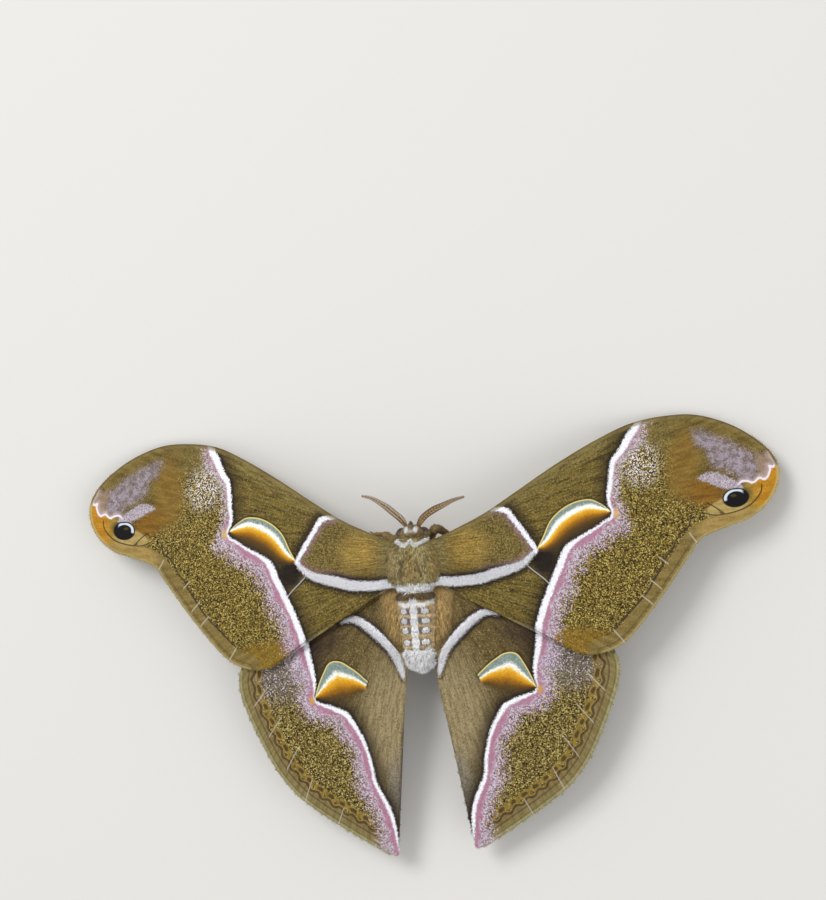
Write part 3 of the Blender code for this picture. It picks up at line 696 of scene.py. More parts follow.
def make_scale_group():
    """Powdery wing scales: a random pick and tone for each scale, and their relief."""
    sheet, given, out = new_group("wing scales", {"Vector": "Vector", "Size": "Float"},
                                  {"Pick": "Float", "Tone": "Float", "Relief": "Float"})
    inputs = {"Vector": given["Vector"], "Scale": sheet.math("DIVIDE", 1.0, given["Size"])}
    cells = sheet.outputs(sheet.node("ShaderNodeTexVoronoi", inputs, feature="F1"))
    picks = sheet.outputs(sheet.node("ShaderNodeSeparateColor", {0: cells["Color"]}))
    sheet.put(out["Pick"], picks["Red"])
    sheet.put(out["Tone"], picks["Green"])
    sheet.put(out["Relief"], sheet.step(cells["Distance"], 0.8, 0.0))


def make_line_group():
    """A line with soft sides: 1 where a distance lies between a start and an end."""
    inputs = dict.fromkeys(("Distance", "Start", "End", "Softness"), "Float")
    sheet, given, out = new_group("scale line", inputs, {"Line": "Float"})
    soft = given["Softness"]
    past = []
    for end in ("Start", "End"):
        ends = {"Value": given["Distance"], "From Min": given[end] - soft, "From Max": given[end] + soft}
        past.append(sheet.value("ShaderNodeMapRange", ends, interpolation_type="SMOOTHSTEP"))
    sheet.put(out["Line"], past[0] * (1.0 - past[1]))


def new_material(name, roughness, sheen=0.0):
    """A Principled material and the sheet that writes its nodes."""
    material = bpy.data.materials.new(name)
    material.use_nodes = True
    shader = material.node_tree.nodes["Principled BSDF"]
    shader.inputs["Roughness"].default_value = roughness
    shader.inputs["Specular IOR Level"].default_value = 0.16
    shader.inputs["Sheen Weight"].default_value = sheen
    return material, Sheet(material.node_tree), shader


def relief(sheet, shader, height, distance, strength):
    """Raise a height as bump on a shader."""
    bump = sheet.value("ShaderNodeBump", {"Height": height, "Distance": distance, "Strength": strength})
    sheet.put(shader.inputs["Normal"], bump)


def millimetres(sheet):
    """Object coordinates in millimetres, for patterns at the size of scales and hairs."""
    return sheet.scaled(sheet.value("ShaderNodeTexCoord", output="Object"), (1 / MM,) * 3)


class Layers:
    """A colour built up from layers laid over one another."""

    def __init__(self, sheet, colour):
        self.sheet = sheet
        self.colour = sheet.shade(colour)

    def lay(self, colour, *shares):
        """Lay a colour as far as the product of the shares."""
        self.colour = self.sheet.mix(self.sheet.both(*shares), self.colour, colour)


class WingSheet(Sheet):
    """The nodes of a wing's material, with what its patterns read and the layers that both pairs share."""

    def __init__(self, kind, dark, light):
        self.material, _, self.shader = new_material(kind + " scales", 0.7, sheen=0.03)
        super().__init__(self.material.node_tree)
        self.settings = bpy.context.scene.moth_wings
        self.points = millimetres(self)
        scales = placed(self, "wing scales", {"Vector": self.points, "Size": SCALE_SIZE})
        self.pick, self.tone, self.scale_relief = scales.values()
        self.ragged = (self.pick - 0.5) * 0.34
        streaks = self.noise(self.scaled(self.place("grain"), (0.22, 2.6, 1.0)), 1.0, 4.0, 0.65)
        self.grain = self.step(streaks, 0.34, 0.66) * 0.55 + self.tone * 0.45
        self.x, self.y, _ = self.outputs(self.node("ShaderNodeSeparateXYZ", {0: self.place("plan")})).values()
        self.edge = self.field("edge")
        self.base = self.field("base") + self.ragged
        self.base_width = self.field("base_width")
        self.beyond_line = self.step(self.field("line"), 0.0, 0.2)
        self.layers = Layers(self, (self.grain, dark, light))
        self.lay = self.layers.lay

    def spot(self, middle, half, turn=0.0):
        """How far out the wing's place lies from an oval's middle."""
        return self.oval(self.x, self.y, middle, half, turn)

    def lay_scales(self, shades, *shares):
        """Lay scales of several shades, each (share of the scales, colour)."""
        reached, colour = shades[0]
        for part, shade in shades[1:]:
            colour = self.mix(self.pick > reached, colour, shade)
            reached += part
        self.lay(colour, *shares)

    def lay_flecks(self):
        """Single pale and dark scales strewn over the field."""
        self.lay((178, 162, 110), self.pick > 0.9, 0.4)
        self.lay((50, 38, 17), self.pick < 0.14, 0.4)

    def lay_outer_line(self, amount):
        """The outer white line with its black inner side, pink strip and lilac dusting."""
        settings, lay = self.settings, self.lay
        line = self.field("line") + self.ragged
        width = self.field("line_width") * 0.82
        past = line - width
        inner = self.step(line, 0.15, 0.0)
        outer = self.step(past, -0.12, 0.08)
        lay(settings.dark, (line, -3.6, 0.2), inner, 0.75)
        lay(settings.dark, (line, -0.9, -0.1), inner, 0.8)
        drift = (self.noise(self.place("plan"), 0.3) - 0.5) * 3.2
        spread = (past + drift) * self.math("SUBTRACT", 1.9, amount)
        lay((150, 116, 132), outer, (spread, 3.4, 0.3), 0.45, amount)
        shadow = self.mix(amount, (124, 106, 72), (158, 124, 146))
        dust = (self.step(self.pick, 0.2, 0.7), shadow, settings.lilac)
        lay(dust, outer, self.tone < self.step(spread, 4.4, 0.4) * 0.97, 0.76)
        lay(settings.pink, outer, (spread, 1.3, 0.45), self.math("MAXIMUM", amount, 0.6), 0.8)
        ends = {"Distance": line, "Start": 0.0, "End": width, "Softness": 0.16}
        lay((self.tone, (232, 229, 240), settings.white), placed(self, "scale line", ends)["Line"])

    def lay_crescent(self, faded, crowding, window):
        """A glassy crescent: yellow rim, grey-green window, white, then gold that fades to brown."""
        depth, across = self.field("crescent"), self.field("across")
        share = (across + (self.pick - 0.5) * 0.06) * crowding
        self.lay(self.settings.dark, (depth, -0.55, -0.05), (across, 0.5, 0.3), 0.7)
        fill = Layers(self, (self.tone, (104, 126, 120), (152, 166, 158)))
        for colour, start, end in (((222, 226, 220), window, window + 0.06),
                                   ((262, 260, 252), window + 0.05, window + 0.1),
                                   ((240, 200, 84), 0.30, 0.37), (self.settings.gold, 0.36, 0.43),
                                   ((168, 110, 14), 0.42, 0.60), ((92, 66, 24), 0.52, 0.76),
                                   ((62, 46, 24), 0.70, 0.95)):
            fill.lay(colour, (share, start, end))
        fill.lay((238, 214, 122), (self.field("rim"), 0.28, 0.12))
        self.lay(fill.colour, (depth, -0.08, 0.08), 1.0 - self.both((share, 0.72, 0.98), faded))

    def lay_woolly_line(self, softness):
        """The white hairy line round the base of a wing."""
        half = self.math("MAXIMUM", self.base_width, 0.001)
        ends = {"Distance": self.base, "Start": half * -1.0, "End": half, "Softness": softness}
        wool = (self.tone, (216, 214, 230), self.settings.white)
        self.lay(wool, placed(self, "scale line", ends)["Line"], (self.base_width, 0.05, 0.2))

    def finish(self):
        """The underside's paler powder, painted light that brightens the tufts, the bump of the scales, and
        the shader's colour.
        """
        self.lay((self.tone, (150, 132, 104), (196, 184, 170)), self.field("under"), 0.45)
        # Painted light: the tufts are made brighter than the wing's scales, by a random amount each, to make
        # up for their self-shadowing.
        painted_tuft_light = self.field("tone") * 0.75 + 0.02
        value = self.math("ADD", 1.0, painted_tuft_light * self.field("tuft"))
        lit = self.value("ShaderNodeHueSaturation", {"Color": self.layers.colour, "Value": value})
        capped = self.value("ShaderNodeVectorMath", {0: lit, 1: BRIGHTEST}, operation="MINIMUM")
        self.put(self.shader.inputs["Base Color"], capped)
        relief(self, self.shader, self.scale_relief + self.grain * 1.2, 0.00005, 0.45)
        return self.material


def make_forewing_material():
    """Forewing: olive field, marked base, white line, crescent, clouded tip and eyespot."""
    sheet = WingSheet("forewing", (34, 22, 4), (140, 120, 52))
    x, y, grain, tone, ragged = sheet.x, sheet.y, sheet.grain, sheet.tone, sheet.ragged
    lay, spot, field, step, both = sheet.lay, sheet.spot, sheet.field, sheet.step, sheet.both
    edge, front, base, beyond_line = sheet.edge, field("front"), sheet.base, sheet.beyond_line
    dark, points = sheet.settings.dark, sheet.points

    # The olive field, its scales and its warm patches
    lay((grain, (76, 60, 20), (142, 119, 54)), (sheet.noise(points, 0.16, 3.0), 0.45, 0.7), 0.35)
    lay((grain, (88, 74, 34), (144, 129, 74)), (front, 3.6, 1.2), 0.6)
    lay((136, 120, 70), (field("vein"), 0.35, 0.05), 0.35)
    sheet.lay_flecks()
    sheet.lay_scales(((0.3, (40, 27, 8)), (0.32, (98, 80, 32)), (0.25, (142, 122, 52)),
                      (0.13, (192, 174, 98))), beyond_line)
    lay((grain, (84, 70, 34), (138, 121, 70)), beyond_line, (y, 16.0, 20.0), 0.7)
    lay((grain, (72, 57, 20), (136, 115, 54)), (x, 43.0, 50.0), (y, 6.0, 11.0), 0.85)
    lay((grain, (98, 62, 12), (150, 108, 30)), (spot((52.2, 9.0), (4.2, 2.4), -0.35), 1.4, 0.4), 0.9)
    lay((grain, (116, 84, 26), (156, 120, 52)), (spot((48.4, 14.5), (3.0, 7.0), -0.1), 1.3, 0.4), 0.65)
    lay((grain, (104, 76, 16), (158, 124, 40)), (spot((29.2, -16.4), (8.0, 3.0), -0.12), 1.25, 0.4),
        beyond_line, 0.7)
    lay((236, 230, 234), (spot((41.0, 15.0), (4.2, 4.8)), 1.2, 0.3), beyond_line, tone > 0.74)

    # The base inside the woolly line
    base_area = step(base, 0.05, -0.05)
    sheet.lay_scales(((0.3, (52, 38, 12)), (0.42, (102, 85, 38)), (0.28, (150, 131, 70))), base_area)
    lay((grain, (76, 62, 28), (142, 124, 70)), base_area, 0.35)
    lay((grain, (112, 84, 24), (222, 188, 100)), base_area, (spot((9.2, 1.4), (5.2, 4.4)), 1.3, 0.1), 0.85)
    lay((grain, (96, 82, 42), (180, 166, 118)), (x + ragged * 6.0, 8.0, 4.0), 0.85)

    # The clouded tip
    wisps = step(sheet.noise(points, 0.9, 3.0, 0.6), 0.38, 0.62)
    cloud = field("cloud") + ragged * 4.0
    lay(((tone + wisps) * 0.5, (98, 84, 70), (180, 168, 186)), (cloud, -0.7, 0.8), 0.85)
    lay((grain, (140, 116, 92), (176, 152, 136)), (field("mauve") + ragged * 2.0, -0.5, 0.5), 0.8)
    lay((tone, (132, 118, 124), (208, 198, 212)), (field("lobe") + ragged, -0.16, 0.2), 0.9)

    # The margin and the jagged line
    strip = both((edge, 2.8, 2.55), (x, 22.0, 33.0), (y, 12.5, 9.0))
    lay((grain, (102, 84, 40), (150, 130, 76)), strip, 0.9)
    lay((grain, (136, 110, 52), (182, 154, 92)), (edge, 3.0, 2.2), (x, 49.5, 52.0), (y, 12.0, 9.0), 0.9)
    zigzag = field("zigzag")
    near_tip = both((x, 57.4, 58.6), (y, 5.0, 6.5), (y, 17.0, 16.0))
    orange = Layers(sheet, (grain, (160, 106, 14), (210, 152, 36)))
    orange.lay((grain, (136, 108, 36), (176, 146, 64)), (x, 62.4, 59.4))
    orange.lay((204, 176, 106), (edge, 0.7, 0.2))
    lay(orange.colour, (zigzag, -0.05, 0.12), near_tip, (x, 58.6, 60.0), 0.95)
    lay((206, 184, 194), (zigzag, -1.0, -0.1), (zigzag, 0.1, 0.0), near_tip, 0.6)
    lay((240, 228, 236), (abs(zigzag), 0.26, 0.1), near_tip)
    lay((62, 47, 36), (abs(field("submargin")), 0.26, 0.1), (x, 33.0, 36.0), 0.85)
    lay((172, 158, 108), (edge, 0.55, 0.25), (x, 24.0, 30.0), 0.7)
    lay((80, 66, 38), (abs(edge - 0.95), 0.2, 0.08), strip, (x, 51.0, 49.0), 0.5)
    lay((208, 198, 176), sheet.thin("ticks", 0.17), 0.55)

    # The eyespot
    eye = spot(EYESPOT_MIDDLE, EYESPOT_HALF, 0.12)
    lay((grain, (150, 126, 62), (196, 174, 112)), (spot((56.0, 6.6), (4.0, 1.5), 0.28), 1.1, 0.8), 0.9)
    lay((52, 38, 26), sheet.thin("loops", 0.17), 0.85)
    lay((70, 46, 20), (spot((58.9, 8.4), (1.6, 1.2), 0.3), 1.3, 0.6), 0.6)
    lay((11, 7, 9), sheet.math("MINIMUM", step(y, 9.75, 9.55), step(eye, 1.14, 1.02)))
    lay((216, 228, 242), (eye, 0.68, 0.76), (eye, 1.0, 0.92), (y + x * -0.35, -12.2, -11.8), (x, 59.0, 58.4),
        (y, 9.5, 9.35), 0.95)
    # Painted glint: a small olive highlight inside the black of the eyespot.
    lay((92, 84, 44), (spot((57.1, 8.35), (0.6, 0.3)), 1.2, 0.5), 0.5)

    # The white line, the crescent and the woolly line
    sheet.lay_outer_line(step(y, 9.0, 4.0) * 0.85 + 0.15)
    lay((214, 176, 92), (spot((36.6, 6.3), (0.6, 1.1)), 1.3, 0.3), beyond_line, 0.75)
    lay((24, 15, 16), (spot((23.6, -1.6), (2.3, 2.8), -0.5), 1.3, 0.5), (field("line"), 0.1, -0.3),
        (base, 0.3, 0.7), 0.92)
    sheet.lay_crescent(0.3, 1.0, 0.15)
    outside, inside = base - sheet.base_width, base + sheet.base_width
    lay(dark, (outside, 2.8, 0.1), (outside, -0.1, 0.1), (y, -3.4, -1.0), (x, 14.5, 17.0),
        (field("crescent"), 0.1, -0.3), 0.85)
    lay(dark, (outside, 1.7, 0.2), (outside, -0.1, 0.1), (y, -1.0, -3.4), (x, 3.0, 7.0), 0.85)
    lay((150, 118, 134), (inside, -1.4, -0.1), base_area, (x, 9.0, 14.0), (tone, 0.8, 0.2), 0.9)
    dim = both((inside, -1.5, 0.0), base_area, (x, 19.0, 13.0), (y, 0.0, -2.0))
    lay((38, 26, 30), dim, 0.85)
    lay((20, 12, 14), dim, (inside, -0.9, -0.2), 0.7)
    sheet.lay_woolly_line(0.14)
    lay((214, 214, 222), sheet.thin("thread", 0.13), 0.6)
    lay((grain, (108, 92, 50), (144, 128, 78)), (front, 1.1, 0.5), 0.72)
    lay((96, 78, 40), (front, 0.4, 0.2), 0.5)
    return sheet.finish()


def make_hindwing_material():
    """Hindwing: tan haired base, white lines, short crescent, speckled field and ringed margin."""
    sheet = WingSheet("hindwing", (62, 48, 24), (122, 104, 60))
    x, grain, tone, edge, beyond_line = sheet.x, sheet.grain, sheet.tone, sheet.edge, sheet.beyond_line
    lay, spot = sheet.lay, sheet.spot
    lay((grain, (116, 99, 64), (178, 162, 124)), (spot((5.6, -29.0), (8.5, 16.0), 0.1), 1.15, 0.3), 0.9)
    lay((tone, (96, 92, 84), (150, 146, 138)), (spot((5.6, -42.0), (3.0, 8.0)), 1.2, 0.3), 0.6)
    lay((grain, (158, 126, 70), (236, 200, 138)), (spot((3.9, -9.0), (3.2, 9.0), -0.2), 1.3, 0.2), 0.9)
    sheet.lay_flecks()
    lay((grain, (36, 23, 17), (78, 58, 44)), (spot((18.4, -13.8), (5.0, 4.4), -0.5), 1.35, 0.2), 0.75)
    sheet.lay_scales(((0.32, (40, 27, 11)), (0.32, (100, 83, 38)), (0.24, (148, 130, 64)),
                      (0.12, (198, 180, 116))), beyond_line)
    grey = sheet.both(beyond_line, (spot((28.0, -18.5), (8.5, 7.5)), 1.2, 0.3))
    lay((tone, (66, 58, 54), (138, 130, 136)), grey, 0.6)
    lay((216, 210, 220), grey, tone > 0.91)

    # The rings of the margin, with a row of dark spots inside them
    turn = sheet.math("FRACT", sheet.math("DIVIDE", sheet.field("round"), RING_LENGTH))
    away = edge + sheet.math("COSINE", turn * (2 * math.pi)) * 0.28
    shift = (sheet.noise(sheet.points, 0.5) - 0.5) * 1.6
    dot = sheet.oval((turn - 0.5) * RING_LENGTH + shift, edge, (0.0, 3.9), (1.15, 0.6))
    gold = sheet.mix(grain, (122, 96, 36), (168, 142, 66))
    rings = Layers(sheet, sheet.layers.colour)
    for colour, share, amount in (
            (gold, (dot, 1.6, 1.1), 0.75),
            ((52, 38, 26), (dot, 0.85, 0.45), 0.8),
            (gold, (away, 3.35, 3.2), 0.8),
            ((grain, (48, 36, 28), (82, 66, 50)), (away, 3.1, 3.0), 0.85),
            ((grain, (108, 90, 48), (152, 134, 84)), (away, 2.62, 2.5), 0.9),
            ((72, 56, 40), (abs(edge - 1.85), 0.22, 0.1), 0.55),
            ((grain, (110, 98, 58), (150, 138, 92)), (edge, 1.72, 1.6), 0.6),
            ((92, 75, 50), (abs(edge - 0.75), 0.14, 0.05), 0.4),
            ((grain, (134, 130, 88), (178, 174, 134)), (edge, 0.6, 0.45), 0.7)):
        rings.lay(colour, share, amount)
    lay(rings.colour, beyond_line, (edge, 4.7, 4.4))
    lay((206, 200, 184), sheet.thin("ticks", 0.15), 0.5)

    sheet.lay_outer_line(1.0)
    lay((206, 158, 70), (spot((21.2, -24.8), (0.6, 0.9)), 1.3, 0.5), beyond_line, 0.8)
    sheet.lay_crescent(0.95, 1.1, 0.21)
    lay((38, 26, 30), (abs(sheet.base) - sheet.base_width, 1.5, 0.0), (x, 4.0, 6.5), 0.85)
    sheet.lay_woolly_line(0.16)
    return sheet.finish()


def make_fur_material():
    """Fur of the body: khaki thorax, brown head, tan abdomen, the white markings and painted shade at the
    tufts' roots.
    """
    material, sheet, shader = new_material("fur", 0.8, sheen=0.12)
    place, tone = sheet.place("body"), sheet.field("tone")
    blotches = sheet.noise(place, 0.9, 3.0)
    strands = sheet.noise(sheet.scaled(place, (6.0, 1.6, 6.0)), 1.0, 3.0, 0.6)
    layers = Layers(sheet, (tone * 0.7 + strands * 0.3, (82, 64, 20), (250, 230, 162)))
    layers.lay((tone, (136, 120, 78), (246, 236, 200)), (blotches, 0.42, 0.3), 0.5)
    layers.lay((tone, (78, 58, 18), (146, 118, 58)), (blotches, 0.52, 0.64), 0.6)
    for name, amount, dark, light in (
            ("middle", 0.75, (120, 94, 42), (216, 184, 112)), ("notch", 0.7, (64, 48, 18), (112, 90, 44)),
            ("shoulder", 0.75, (128, 102, 42), (200, 170, 94)),
            ("rear_side", 0.85, (160, 124, 74), (226, 192, 136)),
            ("head", 1.0, (102, 80, 40), (176, 150, 98)), ("abdomen", 1.0, (206, 170, 108), (262, 236, 182)),
            ("brown", 0.9, (52, 38, 14), (106, 82, 40)), ("halo", 0.8, (76, 76, 100), (130, 130, 152)),
            ("leg", 1.0, (118, 88, 50), (178, 146, 98))):
        layers.lay((tone, dark, light), sheet.field(name), amount)
    # Painted shade: each tuft is darkened towards its root, where it sinks in among the others.
    layers.lay((60, 48, 30), (sheet.field("tip"), 0.3, 0.0), sheet.field("tuft"), 0.15)
    layers.lay((273, 273, 274), (sheet.field("white"), 0.1, 0.7))
    sheet.put(shader.inputs["Base Color"], layers.colour)
    relief(sheet, shader, strands, 0.00003, 0.5)
    return material


# Operators

class MOTH_OT_wings(bpy.types.Operator):
    """Build the four patterned wings"""
    bl_idname = "moth.wings"
    bl_label = "Wings"

    def execute(self, context):
        make_scale_group()
        make_line_group()
        materials = {"forewing": make_forewing_material(), "hindwing": make_hindwing_material()}
        for kind in WINGS:
            for label, side in SIDES:
                self.build(context, kind, label, side, materials[kind])
        return {"FINISHED"}

    def build(self, context, kind, label, side, material):
        """A fine grid laid over the wing's plan, thickened, and given its fields."""
        settings = context.scene.moth_wings
        bm = bmesh.new()
        bmesh.ops.create_grid(bm, x_segments=settings.cells_along, y_segments=settings.cells_across, size=0.5)
        grid = np.array([vert.co[:2] for vert in bm.verts]) + 0.5
        flat = wing_plan(kind, grid[:, 0], grid[:, 1])
        for vert, place in zip(bm.verts, flat):
            vert.co = (place[0], place[1], 0.0)
        bmesh.ops.solidify(bm, geom=bm.faces[:], thickness=0.1)
        mesh = mesh_from(bm, kind)
        points = mesh_points(mesh)
        upper = points[:, 2] > (points[:, 2].min() + points[:, 2].max()) / 2
        fields = wing_fields(kind, flat)
        middle, half = (np.tile(part, 2) for part in wing_top(kind, flat, fields))
        heights = middle + np.where(upper, half, -half)
        mesh.vertices.foreach_set("co", in_place(np.tile(flat, (2, 1)), heights, side).ravel())
        for name, values in fields.items():
            write_field(mesh, name, np.concatenate([values, values]))
        write_field(mesh, "under", np.where(upper, 0.0, 1.0))
        self.unwrap(mesh, np.tile(grid, (2, 1)), upper)
        mesh.update()
        bm = bmesh.new()
        bm.from_mesh(mesh)
        bmesh.ops.recalc_face_normals(bm, faces=bm.faces[:])
        bm.to_mesh(mesh)
        bm.free()
        wing = new_object(kind + "_" + label + "_skin", mesh)
        finish_piece(wing, material, "wing_scales")
        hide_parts(kind + "_" + label)

    def unwrap(self, mesh, grid, upper):
        """The upper face on the left half of the map, the lower face on the right half."""
        u, v = grid.T
        spots = np.column_stack([MAP_EDGE + 0.44 * u + np.where(upper, 0.0, 0.5), MAP_EDGE + MAP_SPAN * v])
        corners = np.empty(len(mesh.loops), np.int32)
        mesh.loops.foreach_get("vertex_index", corners)
        values = spots[corners]
        starts, totals = np.empty((2, len(mesh.polygons)), np.int32)
        mesh.polygons.foreach_get("loop_start", starts)
        mesh.polygons.foreach_get("loop_total", totals)
        high = np.add.reduceat(upper[corners].astype(int), starts)
        for face in np.nonzero((high > 0) & (high < totals))[0]:
            for loop in range(starts[face], starts[face] + totals[face]):
                point = corners[loop]
                if not upper[point]:
                    outwards = grid[point] - 0.5
                    outwards = outwards / (np.abs(outwards).max() + 1e-9)
                    values[loop] = spots[point] - (0.5, 0.0) + outwards * 0.012
        mesh.uv_layers.new(name="OFBake").data.foreach_set("uv", values.ravel())


def wing_roots(kind, flat, side):
    """World places, normals and fields of flat places on a wing's upper face."""
    fields = wing_fields(kind, flat)
    middle, half = wing_top(kind, flat, fields)
    height, x, y, step = WINGS[kind]["height"], flat[:, 0], flat[:, 1], 0.05
    slope_x = (height(x + step, y) - height(x - step, y)) / (2 * step)
    slope_y = (height(x, y + step) - height(x, y - step)) / (2 * step)
    normals = np.stack([-slope_x * side, -slope_y, np.ones(len(flat))], 1)
    fields["under"] = np.zeros(len(flat))
    return in_place(flat, middle + half * 0.7, side), unit(normals), fields


def wing_patches(flat):
    """Where flat places of a wing lie on its unwrapped sheet."""
    return MAP_EDGE + (flat - np.array((0.0, -55.0))) / (70.0, 82.0) * MAP_SPAN


def strewn(draw, route, count, reach):
    """Places strewn along a route, the ways ahead and sideways there, and shares of the route's length."""
    shares = np.sort(draw.random(count))
    spots = spaced(route, shares)
    ahead = spaced(route, np.minimum(shares + 0.004, 1.0)) - spaced(route, np.maximum(shares - 0.004, 0.0))
    ahead = unit(ahead[:, :2])
    sideways = np.column_stack([-ahead[:, 1], ahead[:, 0]])
    width = spots[:, 2] if spots.shape[1] > 2 else np.ones(count)
    across = draw.uniform(-1.0, 1.0, count) * width * reach
    return spots[:, :2] + sideways * across[:, None], ahead, sideways, shares


def body_patches(q):
    """Where places of the body lie on its skin unrolled round its long axis."""
    turn = np.arctan2(q[:, 0], q[:, 2] + 0.8) / (2 * math.pi) + 0.5
    return np.column_stack([0.02 + 0.96 * turn, 0.02 + 0.96 * np.clip((q[:, 1] + 21.5) / 30.0, 0, 1)])


def body_fields(q):
    """Shares of the colours of the fur at places on the body, in the moth's own frame."""
    side, y, z = np.abs(q[:, 0]), q[:, 1], q[:, 2]
    back = -y
    above, upper = eased(z, -1.2, 0.6), eased(z, -2.2, -0.6)
    # The white collar, the two spots of the forehead, the band behind the thorax and the bar behind it
    wave = 2.45 + 0.8 * hump(side / 0.55) + 0.13 * side ** 2
    collar = faded(np.abs(y - wave), 0.28, 0.5) * faded(side, 3.6, 4.4) * above
    frons = hump((side - 0.85) / 0.42, (y - 5.3) / 0.55)
    frons = np.maximum(frons, 0.45 * hump(side / 1.2, (y - 5.05) / 0.4))
    band = eased(back, 4.3, 4.6) * faded(back, 6.1, 6.4) * faded(side, 4.6, 5.2)
    crossbar = 8.0 - 0.35 * np.cos(side * 2.1)
    bar = faded(np.abs(back - crossbar), 0.35, 0.55) * faded(side, 3.3, 3.9)
    # The abdomen's middle stripe, its rows of spots with dark halos, and the wool of its end
    stripe = faded(side - 0.12 * np.cos((back - 9.4) * 3.4), 0.5, 0.72) * eased(back, 6.9, 7.3)
    spots, halo = np.zeros((2, len(q)))
    for row, reach in SPOT_ROWS:
        out = np.hypot((side - reach) / 0.66, (back - row) / 0.5)
        inner = np.hypot((side - reach + 0.75) / 0.8, (back - row) / 0.85)
        spots = np.maximum(spots, faded(out, 0.85, 1.1))
        halo = np.maximum(halo, np.maximum(faded(out, 1.1, 1.6), faded(inner, 0.6, 1.1)))
    wool = eased(back + 0.35 * np.cos(side * 3.0), 15.9, 16.7)
    rows = np.array((8.9, 10.3, 12.1, 14.0, 16.0))
    lateral = hump((back[:, None] - rows) / 0.5).max(1) * eased(side, 2.9, 3.3)
    below = faded(z, -3.0, -1.6) * eased(back, 5.5, 6.5)
    # The thorax's tan triangle, which widens towards the rear, and the dark wedges beside it
    half = 0.3 + 0.27 * np.clip(1.4 - y, 0.0, 5.0)
    white = np.maximum.reduce([collar, frons * eased(z, -0.2, 0.3), band, wool, lateral * 0.3, below * 0.6,
                               np.maximum.reduce([bar, stripe, spots]) * upper])
    return {
        "white": white,
        "halo": halo * upper * (1 - white),
        "brown": eased(back, 6.15, 6.35) * faded(back, 7.1, 7.5),
        "abdomen": eased(back, 6.0, 6.6),
        "middle": faded(side - half, -0.25, 0.25) * eased(back, -1.6, -0.4) * faded(back, 3.0, 3.9),
        "notch": hump((side - half - 0.45) / 0.35) * eased(back, -0.6, 0.6) * faded(back, 2.8, 3.6),
        "head": eased(y, 3.3, 4.0),
        "shoulder": eased(side, 2.5, 4.3) * faded(back, 3.2, 4.4) * eased(y, -4.5, -3.0),
        "rear_side": eased(side, 3.2, 4.4) * eased(back, 3.4, 4.6),
        "leg": faded(z, -4.8, -3.8),
        "body": q,
    }


def locks(q, size, phase):
    """A smooth value from -1 to 1 that gathers neighbouring tufts into locks."""
    a = q[:, 0] / size + 1.3 * np.sin(q[:, 1] / size * 0.8 + phase)
    b = q[:, 1] / size * 1.1 + 1.1 * np.sin(q[:, 0] / size * 0.9 + phase * 2.0)
    return np.sin(a * 2.2) * np.cos(b * 1.9)


